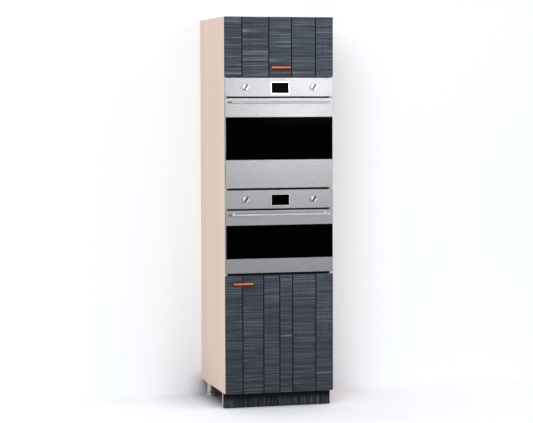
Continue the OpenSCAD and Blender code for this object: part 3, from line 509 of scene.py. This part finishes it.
@memory
def copper_finish(face_y):
    """Satin copper, with painted shade on the plate behind the hood."""
    f = Finish(f"Satin copper {round(face_y, 4)}")
    base = tuple(metal().copper)
    y = f.parts()[1]
    warmth = f.noise((45, 45, 45), detail=3)
    brushing = f.noise((30, 900, 900), detail=3)
    tone = f.mixed(tuple(c * s for c, s in zip(base, (0.86, 0.78, 0.74))), base, warmth.between(0.25, 0.6))
    # painted shade on the plate behind the hood, in the gap of the pull
    painted_shade = y.between(face_y + 4.5 * MM, face_y + 7.5 * MM)
    tone = f.mixed(tone, metal().copper_painted_shade, painted_shade)
    rough = 0.36 + brushing * 0.14 + painted_shade * 0.2
    return f.set(Base_Color=tone, Metallic=1 - painted_shade * 0.6, Roughness=rough, Normal=f.bumped(brushing, 0.00003))


@memory
def black_coat(name, base, roughness):
    """Satin coat, plastic or rubber with a fine orange-peel surface."""
    f = Finish(name, sheen=0.25)
    peel = f.noise((700, 700, 700), detail=2)
    dust = f.noise((22, 22, 22), detail=4)
    tone = f.mixed(base, tuple(min(1, c * 1.7 + 0.004) for c in base), dust.between(0.45, 0.8) * 0.6)
    return f.set(Base_Color=tone, Roughness=roughness + dust * 0.12, Normal=f.bumped(peel, 0.00005))


@memory
def black_glass():
    """Dark glass with faint smears and almost no sheen."""
    f = Finish("Black glass", sheen=0.004)
    smear = f.noise((14, 14, 9), detail=4)
    return f.set(Base_Color=metal().glass, Roughness=0.05 + smear.between(0.45, 0.8) * 0.05)


@memory
def enamel_finish():
    """Dark vitreous enamel with pale specks."""
    looks = metal()
    f = Finish("Speckled enamel")
    cells = {"Vector": f.stretched((260, 260, 260)), "Scale": 1.0}
    specks = f.value("ShaderNodeTexVoronoi", {"feature": "F1"}, cells)
    ripple = f.noise((35, 35, 35), detail=3)
    tone = f.mixed(looks.speckle, looks.enamel, specks.between(0.1, 0.26))
    return f.set(Base_Color=tone, Roughness=0.2 + ripple * 0.14, Normal=f.bumped(ripple, 0.0002))


@memory
def galvanised():
    """Sheet with the crystal pattern of zinc."""
    base = tuple(metal().casing)
    f = Finish("Galvanised sheet")
    cells = {"Vector": f.stretched((70, 70, 70)), "Scale": 1.0}
    crystal = f.value("ShaderNodeTexVoronoi", {"feature": "F1"}, cells, "Color")
    level = f.value("ShaderNodeSeparateXYZ", {}, {"Vector": crystal}, "X")
    tone = f.mixed(tuple(c * 0.72 for c in base), base, level)
    return f.set(Base_Color=tone, Metallic=0.85, Roughness=0.36 + level * 0.16)


@memory
def mineral_wool():
    """Matted fibres along the boards of insulation."""
    base = tuple(metal().wool)
    f = Finish("Mineral wool")
    fibres = f.noise((160, 160, 600), detail=5, roughness=0.75, distortion=1.6)
    tone = f.mixed(tuple(c * 0.62 for c in base), base, fibres.between(0.3, 0.65))
    return f.set(Base_Color=tone, Roughness=0.95, Normal=f.bumped(fibres, 0.0015))


def panel_steel(node):
    """Control panel sheet, with the raised rim round its display polished."""
    return brushed_steel("Panel steel " + node, tuple(metal().steel), 0.25, None, low(node).y + DISPLAY_RIM / 2)


def door_steel(node):
    """Oven door sheet: steel face and folds, black behind them."""
    return brushed_steel("Door steel " + node, tuple(metal().steel), 0.25, low(node).y + DOOR_SHEET)


def bright_steel():
    return plated("Bright steel", tuple(metal().bright), 0.3)


def chrome():
    return plated("Chrome", tuple(metal().chrome), 0.12)


def leg_metal():
    return plated("Satin leg metal", tuple(metal().leg), 0.3)


def zinc():
    return plated("Zinc", tuple(metal().zinc), 0.32)


@memory
def knob_metal(node):
    """Chrome with the grip across its face darkened, as a painted reflection of a dark room."""
    f = Finish("Knob " + node)
    turning = f.noise((300, 20, 300), detail=2)
    # painted reflection: the grip's face is darkened for the dark room that the chrome mirrors
    grip = f.parts()[1] < low(node).y + KNOB_FACE
    tone = f.mixed(metal().chrome, metal().grip, grip)
    rough = 0.16 + turning * 0.08 + grip * 0.14
    return f.set(Base_Color=tone, Metallic=1.0, Roughness=rough, Normal=f.bumped(turning, 0.00002))


@memory
def lamp_glass():
    """Ribbed, slightly frosted glass of an oven lamp."""
    f = Finish("Lamp glass")
    x, _, z = f.parts()
    ribs = f.value("ShaderNodeMath", {"operation": "SINE"}, {0: (x + z) * 1400})
    frost = f.noise((300, 300, 300), detail=2)
    tone = f.mixed((0.62, 0.6, 0.54), (0.86, 0.85, 0.8), frost)
    return f.set(Base_Color=tone, Roughness=0.16 + frost * 0.14, Normal=f.bumped(ribs, 0.0004))


def satin_black():
    return black_coat("Satin black", tuple(metal().black), 0.42)


def rubber():
    return black_coat("Rubber", tuple(metal().rubber), 0.72)


# -------- meshes


def paint(node, material):
    """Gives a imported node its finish."""
    slots = NODES[node].data.materials
    slots.clear()
    slots.append(material)


def linked(name, data):
    """A new object in the scene."""
    made = bpy.data.objects.new(name, data)
    bpy.context.scene.collection.objects.link(made)
    return made


def piece(name, mesh, material, body):
    """Links a finished mesh as a piece that rides on a body."""
    made = linked(name, mesh)
    mesh.materials.clear()
    mesh.materials.append(material)
    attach(made, body)
    return made


def mesh_from(name, edit):
    """A mesh whose normals point outwards."""
    bmesh.ops.recalc_face_normals(edit, faces=edit.faces)
    mesh = bpy.data.meshes.new(name)
    edit.to_mesh(mesh)
    edit.free()
    return mesh


def smooth(mesh, degrees):
    """Smooth shading that stays crisp at edges sharper than an angle."""
    mesh.polygons.foreach_set("use_smooth", [True] * len(mesh.polygons))
    mesh.set_sharp_from_angle(angle=math.radians(degrees))
    return mesh


def evaluated_mesh(holder):
    """The mesh that an object's modifiers make."""
    return bpy.data.meshes.new_from_object(holder.evaluated_get(bpy.context.evaluated_depsgraph_get()))


def eased(mesh):
    """Smooth shading with crisp edges, and normals led by the large faces."""
    holder = linked("holder", smooth(mesh, 32))
    holder.modifiers.new("Weighted normals", "WEIGHTED_NORMAL").keep_sharp = True
    result = evaluated_mesh(holder)
    bpy.data.objects.remove(holder)
    return result


def softened(node, width, material, segments=2):
    """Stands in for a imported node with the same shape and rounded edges."""
    edit = bmesh.new()
    edit.from_mesh(NODES[node].data)
    bmesh.ops.remove_doubles(edit, verts=edit.verts, dist=0.002 * MM)
    bmesh.ops.dissolve_limit(edit, angle_limit=math.radians(1), verts=edit.verts, edges=edit.edges)
    corners = [e for e in edit.edges if len(e.link_faces) == 2 and e.calc_face_angle(0) > math.radians(35)]
    bmesh.ops.bevel(edit, geom=corners, offset=width, segments=segments, profile=0.5, affect="EDGES",
                    clamp_overlap=True, loop_slide=False)
    mesh = bpy.data.meshes.new(node + "_soft")
    edit.to_mesh(mesh)
    edit.free()
    made = piece(node + "_soft", eased(mesh), material, NODES[node]["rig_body"])
    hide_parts(node)


def turned(name, profile, steps=48):
    """A closed mesh turned about Z from (radius, height) points that start and end on the axis."""
    edit = bmesh.new()
    rings = []
    for radius, height in profile:
        turn = [2 * math.pi * k / steps for k in range(steps if radius else 1)]
        rings.append([edit.verts.new((radius * math.cos(a), radius * math.sin(a), height)) for a in turn])
    for lower, upper in zip(rings, rings[1:]):
        for k in range(steps):
            after = (k + 1) % steps
            corners = [ring[place % len(ring)] for ring, place in (
                (lower, k), (lower, after), (upper, after), (upper, k))]
            edit.faces.new(list(dict.fromkeys(corners)))
    return mesh_from(name, edit)


def tube(name, points, radius, sides=12, closed=False):
    """A round tube through points, with flat ends."""
    edit = bmesh.new()
    count = len(points)
    rings = []
    side = Vector((0, 0, 1))
    for k, point in enumerate(points):
        before = points[(k - 1) % count] if closed or k else point
        after = points[(k + 1) % count] if closed or k < count - 1 else point
        run = (Vector(after) - Vector(before)).normalized()
        across = run.cross(side)
        across = across.normalized() if across.length > 1e-4 else Vector((1, 0, 0))
        rise = across.cross(run).normalized()
        ring = []
        for s in range(sides):
            a = 2 * math.pi * s / sides
            ring.append(edit.verts.new(Vector(point) + (across * math.cos(a) + rise * math.sin(a)) * radius))
        rings.append(ring)
    pairs = list(zip(rings, rings[1:])) + ([(rings[-1], rings[0])] if closed else [])
    for lower, upper in pairs:
        for s in range(sides):
            t = (s + 1) % sides
            edit.faces.new((lower[s], lower[t], upper[t], upper[s]))
    if not closed:
        edit.faces.new(rings[0])
        edit.faces.new(rings[-1])
    return smooth(mesh_from(name, edit), 50)


def rounded_loop(width, height, radius, centre, steps=6):
    """Corner-rounded rectangle in the plane of X and Z, as a closed list of points."""
    points = []
    for corner, (sx, sz) in enumerate(((1, 1), (-1, 1), (-1, -1), (1, -1))):
        for k in range(steps + 1):
            a = math.pi / 2 * (corner + k / steps)
            x = centre[0] + sx * (width / 2 - radius) + radius * math.cos(a)
            z = centre[1] + sz * (height / 2 - radius) + radius * math.sin(a)
            points.append(Vector((x, 0, z)))
    return points


def along(axis):
    """The rotation that lays Z along an axis."""
    return Vector((0, 0, 1)).rotation_difference(Vector(axis)).to_matrix()


# -------- repeated hardware


def wire(tree, *links):
    """Links the nodes of a tree, each from an output of one to an input of another."""
    for source, output, target, entry in links:
        tree.links.new(source.outputs[output], target.inputs[entry])


def spread_tree(material):
    """Sets a copy of a small part on every point, led by the points' stored turns."""
    tree = bpy.data.node_groups.new("Small parts on points", "GeometryNodeTree")
    for label, way, kind in (("Points", "INPUT", "Geometry"), ("Part", "INPUT", "Object"),
                             ("Geometry", "OUTPUT", "Geometry")):
        tree.interface.new_socket(name=label, in_out=way, socket_type="NodeSocket" + kind)
    entry, leave, part, lead, copies, real, finish = (tree.nodes.new(kind) for kind in (
        "NodeGroupInput", "NodeGroupOutput", "GeometryNodeObjectInfo", "GeometryNodeInputNamedAttribute",
        "GeometryNodeInstanceOnPoints", "GeometryNodeRealizeInstances", "GeometryNodeSetMaterial"))
    lead.data_type = "FLOAT_VECTOR"
    lead.inputs["Name"].default_value = "turn"
    finish.inputs["Material"].default_value = material
    wire(tree, (entry, "Part", part, "Object"), (entry, "Points", copies, "Points"),
         (part, "Geometry", copies, "Instance"), (lead, "Attribute", copies, "Rotation"),
         (copies, "Instances", real, "Geometry"), (real, "Geometry", finish, "Geometry"),
         (finish, "Geometry", leave, "Geometry"))
    return tree


def spread(name, part_mesh, spots, material, body):
    """One mesh with a copy of a small part at each (place, axis, turn about the axis)."""
    carrier_mesh = bpy.data.meshes.new(name + "_points")
    carrier_mesh.from_pydata([place for place, axis, turn in spots], [], [])
    turns = carrier_mesh.attributes.new("turn", "FLOAT_VECTOR", "POINT")
    for stored, (place, axis, turn) in zip(turns.data, spots):
        stored.vector = (along(axis) @ Matrix.Rotation(turn, 3, "Z")).to_euler()
    carrier = linked(name + "_carrier", carrier_mesh)
    part = linked(name + "_part", part_mesh)
    modifier = carrier.modifiers.new("Spread", "NODES")
    modifier.node_group = spread_tree(material)
    modifier[modifier.node_group.interface.items_tree["Part"].identifier] = part
    mesh = evaluated_mesh(carrier)
    for helper in (carrier, part):
        bpy.data.objects.remove(helper)
    piece(name, mesh, material, body)


def screw_mesh():
    """Pan head with a cross recess."""
    sizes = hardware()
    radius, height = sizes.screw_radius, sizes.screw_height
    mesh = turned("screw", [(0, 0), (radius, 0), (radius, height * 0.4), (radius * 0.82, height * 0.8),
                            (radius * 0.5, height), (0, height)], steps=20)
    edit = bmesh.new()
    edit.from_mesh(mesh)
    bpy.data.meshes.remove(mesh)
    cross = []
    for quarter in range(4):
        a = quarter * math.pi / 2
        arm, half = radius * 0.55, radius * 0.11
        for out, aside in ((arm, -half), (arm, half), (half, half)):
            cross.append((out * math.cos(a) - aside * math.sin(a), out * math.sin(a) + aside * math.cos(a)))
    rim = [edit.verts.new((x, y, height * 1.02)) for x, y in cross]
    floor = [edit.verts.new((x * 0.7, y * 0.7, height * 0.5)) for x, y in cross]
    for k in range(len(cross)):
        after = (k + 1) % len(cross)
        edit.faces.new((rim[k], floor[k], floor[after], rim[after]))
    edit.faces.new(floor)
    made = bpy.data.meshes.new("screw")
    edit.to_mesh(made)
    edit.free()
    return smooth(made, 40)


def bumper_mesh():
    """Low domed bumper."""
    radius = hardware().bumper_radius
    profile = [(0, 0), (radius, 0), (radius * 0.9, 1.2 * MM), (radius * 0.6, 2 * MM), (0, 2.2 * MM)]
    return turned("bumper", profile, steps=24)


def mark_mesh():
    """Flat mark with chamfered ends, set into the panel a little."""
    sizes = hardware()
    half, wide = sizes.mark_length / 2, sizes.mark_width / 2
    outline = [(-half, -wide * 0.5), (-half, wide * 0.5), (-half + wide, wide), (half - wide, wide),
               (half, wide * 0.5), (half, -wide * 0.5), (half - wide, -wide), (-half + wide, -wide)]
    edit = bmesh.new()
    base, top = ([edit.verts.new((x, y, z)) for x, y in outline] for z in (-0.1 * MM, 0.12 * MM))
    for k in range(len(outline)):
        after = (k + 1) % len(outline)
        edit.faces.new((base[k], base[after], top[after], top[k]))
    edit.faces.new(base)
    edit.faces.new(top)
    return mesh_from("mark", edit)


def pairs(middle, half):
    """Two places on either side of a middle."""
    return middle - half, middle + half


def hinge_heights():
    """Middles of the base door's two hinges."""
    inset = hardware().base_hinge
    return low("base_door_panel").z + inset, high("base_door_panel").z - inset


def carcass_screws():
    """Screws of the hinge plates and the stay brackets, each as (place, axis, turn)."""
    sizes = hardware()
    arms = high("carcass_hinge_arms") - Vector((PLATE, 0, PLATE))
    y = high("flap_panel").y + sizes.plate_depth
    spots = []
    for middle in pairs(0, sizes.flap_hinge):
        spots += [((x, y, arms.z), (0, 0, -1), x * 40) for x in pairs(middle, sizes.plate_screw)]
    for middle in hinge_heights():
        spots += [((arms.x, y, z), (-1, 0, 0), z * 40) for z in pairs(middle, sizes.plate_screw)]
    bracket_low, bracket_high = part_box("stay_brackets")
    middle = (bracket_low + bracket_high) / 2
    x = bracket_high.x - BRACKET
    for z in pairs(middle.z, sizes.bracket_screw):
        spots += [((side * x, middle.y, z), (-side, 0, 0), z * 60) for side in (-1, 1)]
    return spots


def front_screws():
    """Screws of the hinge cups and the stays' ears, for the flap and for the base door."""
    sizes = hardware()
    rear = high("flap_panel").y
    cup, ear = rear + CUP_RIM, rear + EAR_FOOT
    z = high("flap_panel").z - sizes.cup_inset
    flap = [((x, cup, z), (0, 1, 0), x * 30) for middle in pairs(0, sizes.flap_hinge)
            for x in pairs(middle, sizes.cup_screw)]
    corner = low("flap_fittings")
    x, middle, half = corner.x + 15 * MM, corner.z + 24 * MM, 16 * MM
    flap += [((side * x, ear, z), (0, 1, 0), z * 30) for side in (-1, 1) for z in pairs(middle, half)]
    x = high("base_door_panel").x - sizes.cup_inset
    door = [((x, cup, z), (0, 1, 0), z * 30) for middle in hinge_heights()
            for z in pairs(middle, sizes.cup_screw)]
    return flap, door


def bumper_spots():
    """Bumpers of the flap and of the base door."""
    rear = high("flap_panel").y
    across, rise, inset, end = 200 * MM, 5 * MM, 9 * MM, 40 * MM
    flap = [((x, rear, low("flap_panel").z + rise), (0, 1, 0), 0) for x in pairs(0, across)]
    corner, far_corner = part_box("base_door_panel")
    door = [((corner.x + inset, rear, z), (0, 1, 0), 0) for z in (corner.z + end, far_corner.z - end)]
    return flap, door


def board_joints(node):
    """Middles of the V joints, found from the points of the bottom edge at the V's depth."""
    face, edge = low(node).y, low(node).z + 0.1 * MM
    spots = sorted({round(v.co.x, 4) for v in NODES[node].data.vertices
                    if face + JOINT_DEPTHS[0] < v.co.y < face + JOINT_DEPTHS[1] and v.co.z < edge})
    return [round((a + b) / 2, 4) for a, b in zip(spots, spots[1:]) if b - a < JOINT_WIDTH]


def screws(name, spots, body):
    """Zinc screws that ride on a body."""
    spread(name, screw_mesh(), spots, zinc(), body)


def lamp(name, watts, place, target, width, height, tint):
    """Rectangular lamp that faces a target."""
    light = bpy.data.lights.new(name, "AREA")
    light.shape = "RECTANGLE"
    light.size, light.size_y = width, height
    light.energy = watts
    light.color = tint
    holder = linked(name, light)
    holder.location = place
    holder.rotation_euler = (Vector(target) - Vector(place)).to_track_quat("-Z", "Y").to_euler()


def studio_surface(name, corners, material):
    """One flat face of the studio."""
    mesh = bpy.data.meshes.new(name)
    mesh.from_pydata(corners, [], [range(len(corners))])
    mesh.materials.append(material)
    made = linked(name, mesh)


# -------- operators


class Maker(bpy.types.Operator):
    """Common ground of the operators below"""

    bl_options = {"REGISTER", "UNDO"}

    def execute(self, context):
        self.make()
        return {"FINISHED"}


class HOUSING_OT_carcass(Maker):
    """Oak boards, back panels, plinth and fittings of the carcass"""

    bl_idname = "housing.carcass"
    bl_label = "Carcass"

    def make(self):
        for node in ("side_panel_left", "side_panel_right", "back_panels"):
            paint(node, oak("Z", low(node).y, tuple(wood().oak_band)))
        for node in ("top_panel", "bottom_panel", "cupboard_shelf", "back_rails"):
            paint(node, oak("X", low(node).y, tuple(wood().oak_band)))
        # these shelves sit behind the front's gaps, so their edge band is painted shade
        for node in ("locker_shelf", "middle_oven_shelf", "lower_oven_shelf"):
            paint(node, oak("X", low(node).y, tuple(wood().painted_shade_band)))
        for node in ("cam_fasteners", "shelf_pins", "wall_brackets", "carcass_hinge_arms", "stay_brackets"):
            paint(node, zinc())
        paint("plinth_clips", satin_black())
        softened("plinth_board", wood().edge_round, plinth_wood())
        screws("carcass_screws", carcass_screws(), "housing")


class HOUSING_OT_fronts(Maker):
    """Rough-sawn boards of the locker flap and the base door, with their copper pulls"""

    bl_idname = "housing.fronts"
    bl_label = "Wooden fronts"

    def make(self):
        # the two tones also paint light: the flap lighter than the base door below it
        for node, strength in (("flap_panel", wood().flap_stain_and_light), ("base_door_panel", wood().base_stain_and_light)):
            finish = stained_boards(low(node).y, high(node).y, tuple(board_joints(node)), strength)
            softened(node, wood().edge_round, finish)
        for node in ("flap_fittings", "base_door_cups"):
            paint(node, zinc())
        for node in ("flap_pull", "base_door_pull"):
            softened(node, 0.7 * MM, copper_finish(low(node).y), segments=3)
        for body, spots in zip(("flap", "base_door"), front_screws()):
            screws(body + "_screws", spots, body)
        for body, spots in zip(("flap", "base_door"), bumper_spots()):
            spread(body + "_bumpers", bumper_mesh(), spots, rubber(), body)


class HOUSING_OT_oven_fronts(Maker):
    """Brushed steel panels, black glass and bar handles"""

    bl_idname = "housing.oven_fronts"
    bl_label = "Oven fronts"

    def make(self):
        edge = metal().sheet_round * 0.5
        for oven in OVENS:
            for part, steel in (("_control_panel", panel_steel), ("_door_panel", door_steel)):
                softened(oven + part, edge, steel(oven + part))
            softened(oven + "_bar_handle", 0.6 * MM, bright_steel())
            for part in ("display", "door_glass"):
                paint(oven + "_" + part, black_glass())
            self.gasket(oven)

    def gasket(self, oven):
        """Black seal round the glass of a display, flattened against the rim."""
        gap, flatness = 0.4 * MM, 0.3
        corner, far_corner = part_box(oven + "_display")
        middle = (corner + far_corner) / 2
        size = far_corner - corner - DISPLAY_HIDDEN + Vector((2 * gap, 0, 2 * gap))
        thick = hardware().gasket
        points = rounded_loop(size.x, size.z, thick, (middle.x, middle.z))
        ring = tube(oven + "_display_gasket", points, thick / 2, sides=8, closed=True)
        rim = (0, low(oven + "_control_panel").y, 0)
        ring.transform(Matrix.Translation(rim) @ Matrix.Diagonal((1, flatness, 1, 1)))
        piece(oven + "_display_gasket", ring, rubber(), "housing")


class HOUSING_OT_knobs(Maker):
    """Turning knobs and the marks round them"""

    bl_idname = "housing.knobs"
    bl_label = "Knobs and dials"

    def make(self):
        sizes = hardware()
        spots = []
        for oven in OVENS:
            face = low(oven + "_control_panel").y + DISPLAY_RIM
            for side, span in DIAL_SPANS.items():
                node = oven + "_knob_" + side
                paint(node, knob_metal(node))
                middle = (low(node) + high(node)) / 2
                for k in range(sizes.dial_marks):
                    a = math.radians(90 + span / 2 - span * k / (sizes.dial_marks - 1))
                    reach = Vector((math.cos(a), 0, math.sin(a))) * sizes.dial_radius
                    spots.append(((middle.x + reach.x, face, middle.z + reach.z), (0, -1, 0), a))
        marks = black_coat("Dial marks", tuple(metal().mark), 0.5)
        spread("dial_marks", mark_mesh(), spots, marks, "housing")


class HOUSING_OT_interiors(Maker):
    """Casings, insulation, cavities, racks, seals and door linings"""

    bl_idname = "housing.interiors"
    bl_label = "Oven interiors"

    def make(self):
        finishes = {"_casing": galvanised, "_insulation": mineral_wool, "_cavity": enamel_finish,
                    "_frame": satin_black, "_door_inner": enamel_finish, "_hinge_arms": zinc}
        for oven in OVENS:
            for part, finish in finishes.items():
                paint(oven + part, finish())
            self.grill(oven)
            self.lamp_and_screws(oven)
        paint("upper_fan_cover", enamel_finish())
        paint("baking_tray", enamel_finish())
        paint("wire_racks", chrome())
        paint("oven_seals", rubber())

    def grill(self, oven):
        """Grill element in bends under the cavity's roof, with both ends at the back wall."""
        drop, bend, front_gap, back_gap = 16 * MM, 20 * MM, 50 * MM, 60 * MM
        floor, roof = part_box(oven + "_cavity")
        z = roof.z - drop
        ends = (roof.y - back_gap, floor.y + front_gap)
        wall = roof.y - CAVITY_WALL - 0.1 * MM
        points = [Vector((ELEMENT_ROWS[0], wall, z))]
        for k, x in enumerate(ELEMENT_ROWS):
            start, stop = ends if k % 2 == 0 else ends[::-1]
            reach = bend if k % 2 == 0 else -bend
            points += [Vector((x, start - reach, z)), Vector((x, stop + reach, z))]
            for x_next in ELEMENT_ROWS[k + 1:k + 2]:
                for step in range(1, 6):
                    a = math.pi * step / 6
                    across = (x + x_next) / 2 - (x_next - x) / 2 * math.cos(a)
                    points.append(Vector((across, stop + reach - reach * math.sin(a), z)))
        points.append(Vector((ELEMENT_ROWS[-1], wall, z)))
        element = tube(oven + "_grill_element", points, hardware().element_radius)
        piece(oven + "_grill_element", element, satin_black(), "housing")

    def lamp_and_screws(self, oven):
        """Lamp on the cavity's back wall, and the screws that fix the frame."""
        lamp_x, lamp_drop, screw_x, screw_up = -155 * MM, 75 * MM, 272 * MM, 120 * MM
        floor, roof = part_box(oven + "_cavity")
        radius = hardware().lamp_radius
        profile = [(0, 0), (radius, 0), (radius, 5 * MM), (radius * 0.86, 11 * MM), (radius * 0.5, 15 * MM),
                   (0, 16 * MM)]
        glass = smooth(turned("lamp", profile), 50)
        spot = Vector((lamp_x, roof.y - CAVITY_WALL, roof.z - lamp_drop))
        glass.transform(Matrix.Translation(spot) @ along((0, -1, 0)).to_4x4())
        piece(oven + "_lamp", glass, lamp_glass(), "housing")
        face = high(oven + "_frame").y - FRAME_SEAT
        middle = (floor.z + roof.z) / 2
        spots = [((x, face, middle + up), (0, -1, 0), up * 50) for x in pairs(0, screw_x)
                 for up in pairs(0, screw_up)]
        screws(oven + "_frame_screws", spots, "housing")


class HOUSING_OT_legs(Maker):
    """Levelling legs and their feet"""

    bl_idname = "housing.legs"
    bl_label = "Legs"

    def make(self):
        paint("leg_columns", leg_metal())
        for end in ("front", "back"):
            for side in ("left", "right"):
                paint("foot_" + end + "_" + side, leg_metal())


class HOUSING_OT_stays(Maker):
    """Gas stays that hold the locker flap open"""

    bl_idname = "housing.stays"
    bl_label = "Gas stays"

    def make(self):
        paint("stay_tubes", satin_black())
        paint("stay_rods", chrome())


class HOUSING_OT_stage(Maker):
    """Camera, lamps, floor and wall"""

    bl_idname = "housing.stage"
    bl_label = "Stage"

    def make(self):
        stage = bpy.context.scene.stage_settings
        bpy.context.scene.view_settings.view_transform = "Standard"
        self.camera(stage)
        self.surfaces(stage)
        for name, setting, *rest in LAMPS:
            lamp(name, getattr(stage, setting), *rest)
        self.room(stage)

    def camera(self, stage):
        """Camera turned right, dipped and rolled from a level view along Y."""
        data = bpy.data.cameras.new("Camera")
        data.lens, data.sensor_width, data.clip_end = stage.lens, 36, 60
        camera = linked("Camera", data)
        camera.matrix_world = (
            Matrix.Translation((stage.camera_x, stage.camera_y, stage.camera_z))
            @ Matrix.Rotation(-stage.camera_turn, 4, "Z")
            @ Matrix.Rotation(math.pi / 2 - stage.camera_dip, 4, "X")
            @ Matrix.Rotation(stage.camera_roll, 4, "Z")
        )
        bpy.context.scene.camera = camera

    def surfaces(self, stage):
        """Floor and wall: darker far before the unit, with painted shade beside it and a near-black painted
        shadow under it.
        """
        back, reach = CAD_BOX[1][1] + WALL_GAP, STAGE_REACH
        level = [(-reach, -reach, 0), (reach, -reach, 0), (reach, back, 0), (-reach, back, 0)]
        upright = [(-reach, back, 0), (reach, back, 0), (reach, back, reach), (-reach, back, reach)]
        # shares of the painted shade at the left and the right, and the height where the painted shadow under
        # the unit ends
        for name, corners, pale, left_share, right_share, dark_end in (
                ("Floor", level, stage.floor, 0.75, 0.3, 0.001),
                ("Wall", upright, stage.wall, 0.25, 0.53, 0.16)):
            f = Finish("Studio " + name.lower(), sheen=0)
            x, y, z = f.parts()
            tone = f.mixed(tuple(c * 0.995 for c in pale), pale, f.noise((3, 3, 3), detail=2))
            tone = f.mixed(tone, stage.far_floor, y.between(-1.2, -3.4) - y.between(-4.2, -6.2) * 0.9)
            # painted shade beside the unit, stronger and reaching higher on the right
            beside = x.between(-0.66, -0.3) - x.between(0.3, 0.7)
            right = x.between(0.1, 0.36) - x.between(0.36, 0.7)
            close = (1 - z.between(-0.1, 1.1)) * y.between(-0.3, 0.2)
            share = beside * close * (right * (right_share - left_share) + left_share)
            tone = f.mixed(tone, stage.painted_shade, share + right * y.between(0.2, 0.31) * 0.18)
            # painted shadow under the unit, on the floor and the foot of the wall
            width = x.between(-0.4, -0.2) - x.between(0.2, 0.34)
            under = width * z.between(dark_end, dark_end * 0.4) * y.between(-0.24, -0.1)
            tone = f.mixed(tone, stage.under, under * 0.85)
            studio_surface(name, corners, f.set(Base_Color=tone, Roughness=0.9))

    def room(self, stage):
        """Even light, which the camera sees as white."""
        world = bpy.data.worlds.new("Room")
        bpy.context.scene.world = world
        world.use_nodes = True
        tree = world.node_tree
        even = tree.nodes["Background"]
        even.inputs["Strength"].default_value = stage.room_light
        seen, rays, pick = (tree.nodes.new("ShaderNode" + kind)
                            for kind in ("Background", "LightPath", "MixShader"))
        for light in (even, seen):
            light.inputs["Color"].default_value = (1, 1, 1, 1)
        wire(tree, (rays, "Is Camera Ray", pick, "Fac"), (even, "Background", pick, 1),
             (seen, "Background", pick, 2), (pick, "Shader", tree.nodes["World Output"], "Surface"))


class HOUSING_PT_sidebar(bpy.types.Panel):
    """Buttons that make each group of pieces"""

    bl_idname = "HOUSING_PT_sidebar"
    bl_label = "Oven Housing"
    bl_space_type = "VIEW_3D"
    bl_region_type = "UI"
    bl_category = "Oven Housing"

    def draw(self, context):
        for step in STEPS:
            self.layout.operator(step.bl_idname)
        for name in SETTINGS:
            box = self.layout.box()
            settings = getattr(context.scene, name)
            for key in settings.__annotations__:
                box.prop(settings, key)


SETTINGS = {"wood_looks": WoodLooks, "metal_looks": MetalLooks, "hardware_sizes": HardwareSizes,
            "stage_settings": StageSettings}
STEPS = (HOUSING_OT_stage, HOUSING_OT_carcass, HOUSING_OT_fronts, HOUSING_OT_oven_fronts, HOUSING_OT_knobs,
         HOUSING_OT_interiors, HOUSING_OT_legs, HOUSING_OT_stays)


def register():
    for settings in SETTINGS.values():
        bpy.utils.register_class(settings)
    for step in STEPS:
        bpy.utils.register_class(step)
    bpy.utils.register_class(HOUSING_PT_sidebar)
    for name, settings in SETTINGS.items():
        setattr(bpy.types.Scene, name, PointerProperty(type=settings))


def unregister():
    for name in SETTINGS:
        delattr(bpy.types.Scene, name)
    bpy.utils.unregister_class(HOUSING_PT_sidebar)
    for step in reversed(STEPS):
        bpy.utils.unregister_class(step)
    for settings in SETTINGS.values():
        bpy.utils.unregister_class(settings)


def main():
    register()
    for step in STEPS:
        group, action = step.bl_idname.split(".")
        getattr(getattr(bpy.ops, group), action)()


if __name__ == "__main__":
    main()
